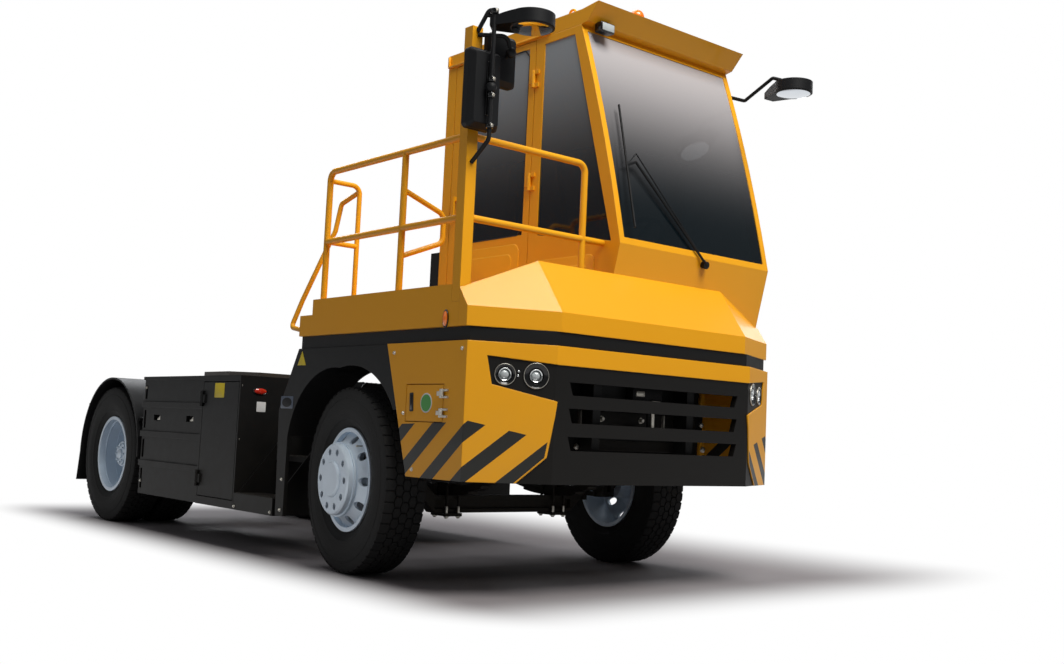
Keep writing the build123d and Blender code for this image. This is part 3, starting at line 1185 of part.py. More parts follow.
def cab_door():
    """The cab door with its window cut out, its hinge barrels and its pull handle."""
    y = (CAB_RIGHT_Y, CAB_RIGHT_Y + CAB_WALL)
    door = block(CAB_DOOR_X, y, CAB_DOOR_Z)
    door -= block(DOOR_WINDOW_X, (y[0] - OVERRUN, y[1] + OVERRUN), (WINDOW_LOW_Z, WINDOW_TOP_Z))
    for _, moving in cab_hinges():
        door += moving
    x, z = DOOR_HANDLE_X, DOOR_HANDLE_Z
    wide, out, tall = DOOR_HANDLE
    grip = block((x - wide / 2, x + wide / 2), (y[0] - out, y[0]), (z - tall / 2, z + tall / 2))
    grip -= block((x - wide, x + wide), (y[0] - out + wide / 2, y[0]), (z - tall / 2 + wide, z + tall / 2 - wide))
    return door + grip


def door_window():
    y = (CAB_RIGHT_Y + GLASS_SET, CAB_RIGHT_Y + GLASS_SET + GLASS)
    return block(DOOR_WINDOW_X, y, (WINDOW_LOW_Z, WINDOW_TOP_Z))


def windscreen():
    """The windscreen: a slice of the cab's own outline inside its opening."""
    outer = Pos(-GLASS_SET, 0, 0) * cab_outer() & screen_cutter()
    return outer - Pos(-GLASS_SET - GLASS, 0, 0) * cab_outer()


def cab_windows():
    """Fixed panes: both quarter windows, the left side window and the two rear windows."""
    right_y = (CAB_RIGHT_Y + GLASS_SET, CAB_RIGHT_Y + GLASS_SET + GLASS)
    left_y = (CAB_LEFT_Y - GLASS_SET - GLASS, CAB_LEFT_Y - GLASS_SET)
    panes = [prism_side(quarter_outline(), right_y), prism_side(quarter_outline(), left_y),
             prism_side(side_outline(), left_y)]
    rear_x = (CAB_REAR_X + GLASS_SET, CAB_REAR_X + GLASS_SET + GLASS)
    panes += [block(rear_x, y, REAR_WINDOW_Z) for y in rear_panes()]
    return Compound(panes)


def cab_roof():
    """The level roof with the visor that juts out over the windscreen."""
    front = screen_line(ROOF_LOW_Z)
    roof = prism_side([(CAB_REAR_X, ROOF_LOW_Z), (front, ROOF_LOW_Z), (VISOR_LOW_X, VISOR_LOW_Z),
                       (VISOR_TOP_X, VISOR_TOP_Z), (VISOR_TOP_X - VISOR_SHEET, VISOR_TOP_Z),
                       (front, ROOF_Z), (CAB_REAR_X, ROOF_Z)], (CAB_RIGHT_Y, CAB_LEFT_Y))
    for x, y in EYE_PLACES:
        roof += Pos(x, y, ROOF_Z + EYE_R) * Rot(90, 0, 0) * Torus(EYE_R, EYE_BAR_R)
    return roof


def seat():
    """The driver's seat: pedestal, cushion, leaning back and head rest."""
    base = block((SEAT_X - SEAT_BASE / 2, SEAT_X + SEAT_BASE / 2), (SEAT_Y - SEAT_BASE / 2, SEAT_Y + SEAT_BASE / 2),
                 (FLOOR_TOP_Z, SEAT_Z))
    cushion = Pos(SEAT_X, SEAT_Y, SEAT_Z + CUSHION[2] / 2) * Box(*CUSHION)
    cushion = fillet(cushion.edges(), CUSHION[2] / 4)
    back = Box(BACK_THICK, CUSHION[1], BACK_HEIGHT, align=(Align.CENTER, Align.CENTER, Align.MIN))
    back = fillet(back.edges(), BACK_THICK / 4)
    back += Pos(0, 0, BACK_HEIGHT + HEAD_GAP) * Box(*HEAD, align=(Align.CENTER, Align.CENTER, Align.MIN))
    back += Pos(0, 0, BACK_HEIGHT - HEAD_GAP) * Cylinder(HEAD_GAP / 2, HEAD_GAP * 4)
    place = Pos(SEAT_X - CUSHION[0] / 2 + BACK_THICK / 2, SEAT_Y, SEAT_Z + CUSHION[2] / 2) * Rot(0, -BACK_LEAN, 0)
    return base + cushion + place * back


def driver_console():
    """The dashboard, the steering column and the steering wheel."""
    y = (CAB_RIGHT_Y + CAB_WALL + OVERRUN, CAB_LEFT_Y - CAB_WALL - OVERRUN)
    dash = prism_side([(DASH_REAR_X + DASH_SLOPE, FLOOR_TOP_Z), (DASH_FRONT_X - OVERRUN, FLOOR_TOP_Z),
                       (DASH_FRONT_X, DASH_TOP_Z), (DASH_REAR_X + DASH_SLOPE, DASH_TOP_Z),
                       (DASH_REAR_X, DASH_TOP_Z - DASH_SLOPE), (DASH_REAR_X, DASH_TOP_Z - DASH_SLOPE * 2)], y)
    foot = (COLUMN_FOOT[0], SEAT_Y, COLUMN_FOOT[1])
    head = (COLUMN_HEAD[0], SEAT_Y, COLUMN_HEAD[1])
    axis = Vector(*head) - Vector(*foot)
    wheel = Cylinder(COLUMN_R * 2, STEER_RIM_R * 2)
    for turn in range(SPOKES):
        wheel += Rot(0, 0, turn * 360 / SPOKES) * Pos(STEER_WHEEL_R / 2, 0, 0) * Box(STEER_WHEEL_R, SPOKE, SPOKE / 2)
    wheel += Rot(0, 0, 180 / SPOKES) * Torus(STEER_WHEEL_R, STEER_RIM_R)
    return dash + rod(foot, head, COLUMN_R) + Plane(origin=head, z_dir=axis) * wheel


def beacon():
    """The round warning lamp on the roof, with a domed top."""
    x, y = BEACON
    body = upright(x, y, (ROOF_Z, ROOF_Z + BEACON_FOOT), BEACON_R + BEACON_FOOT / 2)
    dome_z = ROOF_Z + BEACON_FOOT + BEACON_HEIGHT - BEACON_R
    body += upright(x, y, (ROOF_Z, dome_z), BEACON_R)
    return body + Pos(x, y, dome_z) * Sphere(BEACON_R)


def corner_post():
    """The square post at the platform's front corner, which carries the rails and the right mirrors."""
    return block((HIP_X - POST - FACE_GAP, HIP_X - FACE_GAP), (-SIDE_Y, -SIDE_Y + POST), (DECK_Z, POST_TOP_Z))


def post_rear_x():
    return HIP_X - POST - FACE_GAP


def side_railing():
    """Outer rail beside the platform, its middle post with a guard loop, the rear gate and the hand bar."""
    end_x = post_rear_x()
    kick_y = RAIL_Y
    body = tube([(end_x, RAIL_Y, RAIL_TOP), (RAIL_REAR_X, RAIL_Y, RAIL_TOP), (RAIL_REAR_X, kick_y, DECK_Z)],
                TUBE_R, RAIL_BEND)
    body += rod((end_x, RAIL_Y, RAIL_MID), (RAIL_REAR_X, RAIL_Y, RAIL_MID), TUBE_R)
    body += rod((RAIL_MIDDLE_X, RAIL_Y, DECK_Z), (RAIL_MIDDLE_X, RAIL_Y, RAIL_TOP), TUBE_R)
    body += tube([(RAIL_MIDDLE_X, RAIL_Y, LOOP_TOP_Z), (RAIL_MIDDLE_X, LOOP_OUT_Y, LOOP_SHOULDER_Z[0]),
                  (RAIL_MIDDLE_X, LOOP_OUT_Y, LOOP_SHOULDER_Z[1]), (RAIL_MIDDLE_X, RAIL_Y, LOOP_LOW_Z)],
                 THIN_TUBE_R, RAIL_BEND)
    body += tube([(RAIL_REAR_X, RAIL_Y, RAIL_TOP - RAIL_BEND), (RAIL_REAR_X, GATE_Y, RAIL_TOP - RAIL_BEND),
                  (RAIL_REAR_X, GATE_Y, DECK_Z)], THIN_TUBE_R, RAIL_BEND)
    body += rod((RAIL_REAR_X, RAIL_Y, RAIL_MID), (RAIL_REAR_X, GATE_Y, RAIL_MID), THIN_TUBE_R)
    bar = [(RAIL_REAR_X, GATE_Y, HAND_BAR_TOP_Z), *HAND_BAR, (BODY_REAR_X, *HAND_BAR_END)]
    body += tube(bar, HAND_BAR_R, HAND_BAR_BEND)
    return body - block((BODY_REAR_X, BODY_REAR_X + PANEL), (-SIDE_Y, GATE_Y), (BAND_TOP_Z, DECK_Z))


def front_railing():
    """The rail across the front of the platform, from the corner post to the cab's side."""
    x = HIP_X - FACE_GAP - POST / 2
    start_y = -SIDE_Y + POST
    body = tube([(x, start_y, RAIL_TOP), (x, FRONT_RAIL_END_Y, RAIL_TOP), (x, FRONT_RAIL_END_Y, DECK_Z)],
                TUBE_R, RAIL_BEND)
    return body + rod((x, start_y, RAIL_MID), (x, CAB_RIGHT_Y, RAIL_MID), TUBE_R)


def mirror_head(size, place):
    """A mirror housing: flat glass side to the rear, sides that taper to a rounded back."""
    deep, wide, tall = size
    x, y, z = place
    face = RectangleRounded(wide, tall, MIRROR_SWELL)
    back = RectangleRounded(wide - MIRROR_SWELL * 2, tall - MIRROR_SWELL * 2, MIRROR_SWELL / 2)
    start, middle, end = (Plane((x + step, y, z), x_dir=(0, 1, 0), z_dir=(1, 0, 0)) for step in (-deep / 2, 0, deep / 2))
    return extrude(start * face, amount=deep / 2) + loft([middle * face, end * back])


def kerb_head(place, toward):
    """A look-down mirror: a round shell with a domed top and a neck that narrows towards its arm."""
    x, y, z = place
    low = (0, 0, -KERB_MIRROR_DEPTH / 2)
    turn = math.degrees(math.atan2(toward[1] - y, toward[0] - x))
    plan = Circle(KERB_MIRROR_R)
    plan += make_face(Polyline((0, -KERB_MIRROR_R), (KERB_NECK, -KERB_NECK_HALF), (KERB_NECK, KERB_NECK_HALF),
                               (0, KERB_MIRROR_R), close=True))
    body = extrude(Pos(*low) * plan, amount=KERB_MIRROR_DEPTH + KERB_MIRROR_DOME)
    reach = KERB_NECK + KERB_NECK_HALF
    ball_r = (reach ** 2 + KERB_MIRROR_DEPTH ** 2) / (KERB_MIRROR_DEPTH * 2)
    body &= Pos(0, 0, KERB_MIRROR_DEPTH / 2 + KERB_MIRROR_DOME - ball_r) * Sphere(ball_r)
    return Pos(x, y, z) * Rot(0, 0, turn) * body


def mirrors():
    """Both sides' mirrors with their bracket tubes: three heads on the right, one on the left."""
    x, y = MIRROR_TUBE_X, MIRROR_TUBE_Y
    post_front = HIP_X - FACE_GAP
    post_y = -SIDE_Y + POST / 2
    upper = (post_front, post_y, MIRROR_ARM_Z[0])
    top = (x, y, MIRROR_TUBE_TOP_Z)
    right = tube([upper, top, (x, y, MIRROR_TUBE_LOW_Z), (post_front, post_y, MIRROR_ARM_Z[1])], BRACKET_R, BRACKET_R * 3)
    right += mirror_head(MAIN_MIRROR, (MAIN_MIRROR_X, MAIN_MIRROR_Y, MAIN_MIRROR_Z))
    right += rod((x, y, MAIN_MIRROR_Z), (MAIN_MIRROR_X, MAIN_MIRROR_Y, MAIN_MIRROR_Z), BRACKET_R)
    right += Pos(x, y, MAIN_MIRROR_Z) * Sphere(MIRROR_BALL_R)
    right += mirror_head(WIDE_MIRROR, (WIDE_MIRROR_X, WIDE_MIRROR_Y, WIDE_MIRROR_Z))
    right += tube([(post_front, post_y, WIDE_ARM_Z), WIDE_ARM_BEND, WIDE_BALL], BRACKET_R, WIDE_ARM_R)
    right += Pos(*WIDE_BALL) * Sphere(MIRROR_BALL_R)
    right += rod(WIDE_BALL, (WIDE_MIRROR_X, WIDE_MIRROR_Y, WIDE_MIRROR_Z), BRACKET_R)
    kerb = (KERB_MIRROR_X, KERB_MIRROR_Y, KERB_MIRROR_Z)
    middle = tuple((a + b) / 2 for a, b in zip(upper, top))
    right += rod(middle, kerb, BRACKET_R) + kerb_head(kerb, middle)
    right -= corner_post()
    start = (LEFT_BRACKET[0], CAB_LEFT_Y, LEFT_BRACKET[1])
    left = tube([start, LEFT_ARM_LOW, LEFT_ARM_HIGH, LEFT_ARM_END, LEFT_MIRROR], BRACKET_R, BRACKET_R * 2)
    left -= cab_outer()
    left += kerb_head(LEFT_MIRROR, LEFT_ARM_END)
    return Compound([right, left])


def wiper():
    """The parked wiper: pivot case on the front panel, arm and blade in front of the windscreen."""
    lean = (BELT_X - RIDGE_X) / (BELT_Z - RIDGE_Z)
    pivot_x = BELT_X - (BELT_Z - WIPER_PIVOT_Z) * lean
    reach_x = screen_line(WIPER_REACH_Z) + WIPER_OFF + SCREEN_BULGE
    out = Vector(1, 0, -lean).normalized() * WIPER_OFF
    arm_start = (pivot_x + out.X, WIPER_PIVOT_Y, WIPER_PIVOT_Z + out.Z)
    case = rod((pivot_x, WIPER_PIVOT_Y, WIPER_PIVOT_Z), arm_start, WIPER_CASE_R)
    arm_end = (reach_x, WIPER_REACH_Y, WIPER_REACH_Z)
    twin_start = (arm_start[0], arm_start[1] - WIPER_PAIR, arm_start[2] + WIPER_PAIR)
    twin_end = (reach_x, WIPER_REACH_Y, WIPER_REACH_Z + WIPER_PAIR * 2)
    ends = [(screen_line(z) + WIPER_OFF + SCREEN_BULGE, y, z) for y, z in zip(BLADE_Y, BLADE_Z)]
    hold = tuple((a + b) / 2 for a, b in zip(*ends))
    body = case + rod(arm_start, arm_end, WIPER_BAR_R) + rod(twin_start, twin_end, WIPER_BAR_R / 2)
    body += rod(arm_end, hold, WIPER_BAR_R) + rod(twin_end, hold, WIPER_BAR_R / 2)
    body += rod(arm_start, twin_start, WIPER_BAR_R)
    return body + rod(*ends, BLADE_THICK / 2)


def fifth_wheel():
    """The coupling plate: throat, closed lock round the kingpin's bore, and the two pivot ears."""
    half_x, half_y = FIFTH_LENGTH / 2, FIFTH_WIDTH / 2
    cut = FIFTH_CORNER
    outline = [(-half_x, -half_y + cut), (-half_x + cut, -half_y), (half_x - cut, -half_y), (half_x, -half_y + cut),
               (half_x, half_y - cut), (half_x - cut, half_y), (-half_x + cut, half_y), (-half_x, half_y - cut),
               (-half_x, THROAT_MOUTH_HALF), (-JAW_DEPTH * 2, THROAT_HALF), (-JAW_DEPTH, THROAT_HALF),
               (-JAW_DEPTH, -THROAT_HALF), (-JAW_DEPTH * 2, -THROAT_HALF), (-half_x, -THROAT_MOUTH_HALF)]
    z = (FIFTH_TOP_Z - FIFTH_PLATE, FIFTH_TOP_Z)
    plate = prism_plan(outline, z) - upright(0, 0, (z[0] - OVERRUN, z[1] + OVERRUN), KINGPIN_BORE_R)
    pin_z = FIFTH_PIN_Z
    ear = block((-FIFTH_EAR_HALF_X, FIFTH_EAR_HALF_X), FIFTH_EAR_Y, (pin_z, z[0]))
    ear += Pos(0, 0, pin_z) * ring(0, FIFTH_EAR_DROP, *FIFTH_EAR_Y)
    ear -= Pos(0, 0, pin_z) * ring(0, LIFT_PIN_R + PIN_GAP, FIFTH_EAR_Y[0] - OVERRUN, FIFTH_EAR_Y[1] + OVERRUN)
    return Pos(FIFTH_X, 0, 0) * (plate + ear + mirrored(ear))


def lift_boom():
    """Two arms with cross tubes, from the frame's pivot pins to the fifth wheel's."""
    arm = prism_side([(LIFT_PIVOT_X, LIFT_PIVOT_Z - ARM_ROOT_HALF), (LIFT_PIVOT_X, LIFT_PIVOT_Z + ARM_ROOT_HALF),
                      (FIFTH_X, FIFTH_PIN_Z + ARM_END_HALF / 2), (FIFTH_X, FIFTH_PIN_Z - ARM_END_HALF)], ARM_Y)
    arm += Pos(LIFT_PIVOT_X, 0, LIFT_PIVOT_Z) * ring(0, ARM_ROOT_HALF, *ARM_Y)
    arm += Pos(FIFTH_X, 0, FIFTH_PIN_Z) * ring(0, ARM_END_HALF / 2, *ARM_Y)
    arm += Pos(FIFTH_X, 0, FIFTH_PIN_Z) * ring(0, LIFT_PIN_R, ARM_Y[0], FIFTH_EAR_Y[1])
    boom = arm + mirrored(arm)
    share = (ARM_TIE_X - LIFT_PIVOT_X) / (FIFTH_X - LIFT_PIVOT_X)
    tie_z = LIFT_PIVOT_Z + (FIFTH_PIN_Z - LIFT_PIVOT_Z) * share
    boom += rod((ARM_TIE_X, -ARM_Y[0] - FACE_GAP, tie_z), (ARM_TIE_X, ARM_Y[0] + FACE_GAP, tie_z), ARM_TIE_R)
    boom += rod((EYE_X, -ARM_Y[0] - FACE_GAP, EYE_Z), (EYE_X, ARM_Y[0] + FACE_GAP, EYE_Z), FOOT_PIN_R)
    boom += web_ears()
    hole = ring(0, LIFT_PIN_R + PIN_GAP, ARM_Y[0] - OVERRUN, ARM_Y[1] + OVERRUN)
    holes = hole + mirrored(hole)
    return boom - Pos(LIFT_PIVOT_X, 0, LIFT_PIVOT_Z) * holes


def web_ears():
    """Plates under the arms that hold the pin of the cylinder rods."""
    share = (EYE_X - LIFT_PIVOT_X) / (FIFTH_X - LIFT_PIVOT_X)
    arm_z = LIFT_PIVOT_Z + (FIFTH_PIN_Z - LIFT_PIVOT_Z) * share
    plate = block((EYE_X - EYE_OUT_R, EYE_X + EYE_OUT_R), ARM_Y, (EYE_Z - EYE_OUT_R, arm_z))
    return plate + mirrored(plate)


def cylinder_axis():
    """Unit vector from a lift cylinder's foot to its rod's eye, in the side view."""
    way = Vector(EYE_X - FOOT_X, 0, EYE_Z - FOOT_Z)
    return way.normalized(), way.length


def along(distance, y):
    unit, _ = cylinder_axis()
    return (FOOT_X + unit.X * distance, y, FOOT_Z + unit.Z * distance)


def lift_barrels():
    """Both cylinder barrels, each with an eye round its foot pin and a bore for the rod."""
    barrels = []
    for y in (CYL_Y, -CYL_Y):
        eye = Pos(FOOT_X, y, FOOT_Z) * ring(0, EYE_OUT_R, -EYE_HALF, EYE_HALF)
        body = eye + rod(along(0, y), along(BARREL_LENGTH / 2, y), NECK_R)
        body += rod(along(BARREL_START, y), along(BARREL_LENGTH, y), BARREL_R)
        body -= rod(along(BORE_START, y), along(BARREL_LENGTH + OVERRUN, y), ROD_R + PIN_GAP)
        body -= Pos(FOOT_X, y, FOOT_Z) * ring(0, FOOT_PIN_R + PIN_GAP, -EYE_HALF - OVERRUN, EYE_HALF + OVERRUN)
        barrels.append(body)
    return Compound(barrels)


def lift_rods():
    """Both cylinder rods, each ending in an eye round the boom's pin."""
    _, length = cylinder_axis()
    rods = []
    for y in (CYL_Y, -CYL_Y):
        body = rod(along(ROD_IN, y), along(length, y), ROD_R)
        body += Pos(EYE_X, y, EYE_Z) * ring(0, EYE_OUT_R, -EYE_HALF, EYE_HALF)
        body -= Pos(EYE_X, y, EYE_Z) * ring(0, FOOT_PIN_R + MOVE_GAP, -EYE_HALF - OVERRUN, EYE_HALF + OVERRUN)
        rods.append(body)
    return Compound(rods)


def save(name, shape):
    """Write one piece, moved so that the middle of the vehicle's length is at X = 0."""
    solids = [Pos(MIDDLE_X, 0, 0) * solid for solid in shape.solids()]
    export_step(solids[0] if len(solids) == 1 else Compound(solids), f"parts/{name}.step")


def pair(shape):
    return Compound([shape, mirrored(shape)])


def steered(shape, side):
    """A piece of one front wheel, turned to the right round its kingpin by the angle at which the wheels stand."""
    y = KINGPIN_Y if side == "left" else -KINGPIN_Y
    return Pos(0, y, 0) * Rot(0, 0, -STEER_REST) * Pos(0, -y, 0) * shape


def steered_tie_rod():
    """The tie rod, moved as both steering arms carry it at that angle."""
    angle = math.radians(STEER_REST)
    return Pos(STEER_ARM * (1 - math.cos(angle)), STEER_ARM * math.sin(angle), 0) * tie_rod()


def wheels():
    """Tyres and rims of every wheel, by node name. Twin wheels share a hub."""
    front = Pos(0, front_wheel_y(), AXLE_Z)
    rear = Pos(REAR_X, rear_wheel_y(), AXLE_Z)
    twin = Compound([Pos(0, side * DUAL_SPACING / 2, 0) * tyre_ring() for side in (1, -1)])
    fixed = {"rear_tyres": rear * twin, "rear_rims": rear * rear_rims()}
    turned = {"front_tyre": front * tyre_ring(), "front_rim": front * front_rim(), "steering_knuckle": knuckle()}
    pieces = {}
    for side in ("left", "right"):
        pieces.update({f"{name}_{side}": side_of(shape, side) for name, shape in fixed.items()})
        pieces.update({f"{name}_{side}": steered(side_of(shape, side), side) for name, shape in turned.items()})
    return pieces


def main():
    os.makedirs("parts", exist_ok=True)
    pieces = {
        "chassis_frame": chassis_frame(), "front_axle": front_axle(),
        "tie_rod": steered_tie_rod(), "front_plate": front_plate(), "upper_block": upper_block(),
        "tail_lamps": tail_lamps(), "rear_case": rear_case(),
        "rear_axle": rear_axle(), "driveline": driveline(),
        "battery_box_left": battery_box(False), "battery_box_right": mirrored(battery_box(True)),
        "cabinet_door": mirrored(cabinet_door()), "access_steps": mirrored(access_steps()),
        "front_fenders": pair(front_fender()), "rear_fenders": pair(rear_fender()),
        "bumper": bumper(), "grille": grille(), "headlamps": headlamps(), "charging_flap": charging_flap(),
        "front_subframe": front_subframe(), "hood": hood(), "platform": platform(),
        "corner_post": corner_post(), "side_railing": side_railing(), "front_railing": front_railing(),
        "cab_shell": cab_shell(), "cab_roof": cab_roof(), "cab_door": cab_door(), "door_window": door_window(),
        "windscreen": windscreen(), "cab_windows": cab_windows(), "seat": seat(),
        "driver_console": driver_console(), "beacon": beacon(), "mirrors": mirrors(), "wiper": wiper(),
        "fifth_wheel": fifth_wheel(), "lift_boom": lift_boom(), "lift_barrels": lift_barrels(),
        "lift_rods": lift_rods(),
    }
    pieces.update(wheels())
    for name, shape in pieces.items():
        save(name, shape)


main()
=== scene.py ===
# %% [markdown]
# A terminal tractor, dressed step by step
#
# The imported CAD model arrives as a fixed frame: every piece already has its real size and place, in
# metres, with X forward, Y to the vehicle's left and Z up. This file adds what makes it look real:
# paint, rubber, glass, tread, bolts and trim. Each step first says what the piece is on the real
# machine, how it could be made, and why one way was chosen.

# %% Load the frame
import math
import bmesh
import bpy
from mathutils import Matrix, Vector


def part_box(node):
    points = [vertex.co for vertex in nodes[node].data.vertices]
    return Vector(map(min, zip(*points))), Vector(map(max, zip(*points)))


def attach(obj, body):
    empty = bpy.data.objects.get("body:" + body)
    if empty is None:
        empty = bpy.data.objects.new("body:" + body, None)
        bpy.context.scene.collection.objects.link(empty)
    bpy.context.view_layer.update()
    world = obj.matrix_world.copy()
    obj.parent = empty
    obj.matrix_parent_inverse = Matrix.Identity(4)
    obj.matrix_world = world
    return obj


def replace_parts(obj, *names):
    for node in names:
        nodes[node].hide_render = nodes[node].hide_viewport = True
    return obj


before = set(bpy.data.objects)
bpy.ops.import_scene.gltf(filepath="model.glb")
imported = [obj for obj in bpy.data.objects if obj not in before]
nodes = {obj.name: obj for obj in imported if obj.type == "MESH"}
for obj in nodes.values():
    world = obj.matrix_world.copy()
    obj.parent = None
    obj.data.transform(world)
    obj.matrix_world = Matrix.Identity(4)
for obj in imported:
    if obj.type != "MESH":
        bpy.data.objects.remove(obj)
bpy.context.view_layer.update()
scene = bpy.context.scene
SIDES = (-1, 1)
FORWARD = (1, 0, 0)
BACK = (-1, 0, 0)
DOWN = (0, 0, -1)


def middle(node):
    """The centre of a CAD node's box."""
    low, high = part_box(node)
    return (low + high) / 2


AXLE_X = (middle("front_tyre_left").x + middle("front_tyre_right").x) / 2
SIDE_Y = -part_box("platform")[0].y


def at(x, y, z):
    """A point measured from the front axle, as a point of the frame."""
    return Vector((AXLE_X + x, y, z))


# %% [markdown]
# The camera stands low, ahead of the right front corner, and looks slightly up, as a person crouching
# there would. Its place and turn are real ones, so the straight edges of the body land where they
# should. The matrix is built from three directions: to the right, up and back towards the viewer.

# %% Camera
CAMERA_FROM_AXLE = (6.125, -4.98, 0.884)
CAMERA_YAW = math.radians(139.787)
CAMERA_PITCH = math.radians(4.935)
CAMERA_ROLL = 0.045
CAMERA_LENS = 39.84
SENSOR = 36.0

forward = Vector((math.cos(CAMERA_PITCH) * math.cos(CAMERA_YAW),
                  math.cos(CAMERA_PITCH) * math.sin(CAMERA_YAW), math.sin(CAMERA_PITCH)))
right = forward.cross(Vector((0, 0, 1))).normalized()
up = right.cross(forward)
right_rolled = math.cos(CAMERA_ROLL) * right + math.sin(CAMERA_ROLL) * up
up_rolled = math.cos(CAMERA_ROLL) * up - math.sin(CAMERA_ROLL) * right
camera_data = bpy.data.cameras.new("camera")
camera_data.lens = CAMERA_LENS
camera_data.sensor_width = SENSOR
camera = bpy.data.objects.new("camera", camera_data)
scene.collection.objects.link(camera)
turn = Matrix((right_rolled, up_rolled, -forward)).transposed().to_4x4()
camera.matrix_world = Matrix.Translation(at(*CAMERA_FROM_AXLE)) @ turn
scene.camera = camera
print("camera at", [round(v, 3) for v in camera.matrix_world.translation])

# %% [markdown]
# Shader maths reads best as plain expressions. One small class wraps a node's output and overloads
# the operators, so that a mask is written as high * (1 - dust). A second class holds a node tree and
# adds any node from its type, its settings and its inputs; a third ends such a tree in a material.

# %% Shader helpers


def maths(operation, swapped=False):
    """A method that adds one Math node."""
    def method(self, *others):
        values = (*others, self) if swapped else (self, *others)
        return self.graph.node("Math", {"operation": operation}, dict(enumerate(values)))
    return method


class Number:
    """A number that varies over a surface. Arithmetic on it adds Math nodes."""

    def __init__(self, graph, socket):
        self.graph = graph
        self.socket = socket

    __add__, __radd__ = maths("ADD"), maths("ADD", True)
    __sub__, __rsub__ = maths("SUBTRACT"), maths("SUBTRACT", True)
    __mul__, __rmul__ = maths("MULTIPLY"), maths("MULTIPLY", True)
    __truediv__ = maths("DIVIDE")
    above, below = maths("GREATER_THAN"), maths("LESS_THAN")
    least, most = maths("MINIMUM"), maths("MAXIMUM")
    size, wrap = maths("ABSOLUTE"), maths("WRAP")
    root, sine, angle = maths("SQRT"), maths("SINE"), maths("ARCTAN2")

    def between(self, low, high):
        """1 from the high value on, 0 up to the low one, and a smooth step in between."""
        return self.graph.node("MapRange", {"interpolation_type": "SMOOTHSTEP"},
                               {"Value": self, "From Min": low, "From Max": high})


class Tree:
    """A node tree, emptied and ready to be written as calls."""

    def __init__(self, owner):
        owner.use_nodes = True
        self.tree = owner.node_tree
        self.tree.nodes.clear()

    def node(self, kind, settings=None, inputs=None, output=0):
        made = self.tree.nodes.new("ShaderNode" + kind)
        for key, value in (settings or {}).items():
            setattr(made, key, value)
        for key, value in (inputs or {}).items():
            self.give(made.inputs[key], value)
        return Number(self, made.outputs[output]) if made.outputs else made

    def give(self, socket, value):
        if isinstance(value, Number):
            self.tree.links.new(value.socket, socket)
        elif isinstance(value, bpy.types.NodeSocket):
            self.tree.links.new(value, socket)
        else:
            socket.default_value = value

    def rays(self, *kinds):
        """1 for rays of these kinds, 0 for all others."""
        path = self.tree.nodes.new("ShaderNodeLightPath")
        found = Number(self, path.outputs[f"Is {kinds[0]} Ray"])
        for kind in kinds[1:]:
            found = found.most(Number(self, path.outputs[f"Is {kind} Ray"]))
        return found


class Graph(Tree):
    """One material's node tree, ending in a Principled shader."""

    def __init__(self, name):
        self.material = bpy.data.materials.new(name)
        super().__init__(self.material)
        self.output = self.tree.nodes.new("ShaderNodeOutputMaterial")
        self.shader = self.tree.nodes.new("ShaderNodeBsdfPrincipled")
        self.tree.links.new(self.shader.outputs[0], self.output.inputs[0])
        self.place = self.tree.nodes.new("ShaderNodeTexCoord").outputs["Object"]

    def set(self, **inputs):
        """Shader inputs by name, with _ for a space."""
        for key, value in inputs.items():
            self.give(self.shader.inputs[key.replace("_", " ")], value)

    def base(self):
        """What feeds the base colour so far."""
        return self.shader.inputs["Base Color"].links[0].from_socket

    def axes(self):
        """The three coordinates of the shaded point, in metres."""
        split = self.tree.nodes.new("ShaderNodeSeparateXYZ")
        self.tree.links.new(self.place, split.inputs[0])
        return [Number(self, split.outputs[i]) for i in range(3)]

    def noise(self, scale, detail=3.0, rough=0.55):
        return self.node("TexNoise", None,
                         {"Vector": self.place, "Scale": scale, "Detail": detail, "Roughness": rough})

    def mix(self, low, high, factor):
        """A colour that goes from low to high."""
        return self.node("Mix", {"data_type": "RGBA"}, {0: factor, 6: low, 7: high}, 2)

    def bump(self, height, distance, edge=0.0):
        """Normals of a rough surface, which also roll over a hard edge of some radius."""
        inputs = {"Height": height, "Distance": distance, "Strength": 1.0}
        if edge:
            inputs["Normal"] = self.node("Bevel", {"samples": 4}, {"Radius": edge})
        return self.node("Bump", None, inputs)


def shade(r, g, b):
    """A colour written in the 0 to 255 values of a screen, as linear light."""
    def linear(v):
        v = v / 255
        return v / 12.92 if v <= 0.04045 else ((v + 0.055) / 1.055) ** 2.4
    return (linear(r), linear(g), linear(b), 1.0)


def dimmed(colour, share):
    return tuple(share * v for v in colour[:3]) + (1.0,)


# %% [markdown]
# The yellow is a two-pack machine paint under a clear coat. Sprayed paint is never flat: it has a fine
# orange-peel ripple, and its colour drifts a little from panel to panel. A noise drives both, far too
# weak to notice by itself. The folded sheet edges are softened by a Bevel node, which catches a thin
# line of light there without touching the CAD mesh.

# %% Yellow paint
PAINT = shade(243, 172, 22)
PAINT_WARM = shade(238, 164, 16)
PAINT_ROUGHNESS = 0.4
PAINT_EDGE_R = 0.006
PEEL_SCALE = 220.0
PEEL_DEPTH = 0.00012
DRIFT_SCALE = 1.3
DUST = shade(150, 128, 90)
FILM_SCALE = 9.0
FILM_SHARE = 0.16
FILM_ENDS_Z = 1.3
FILM_FULL_Z = 0.55


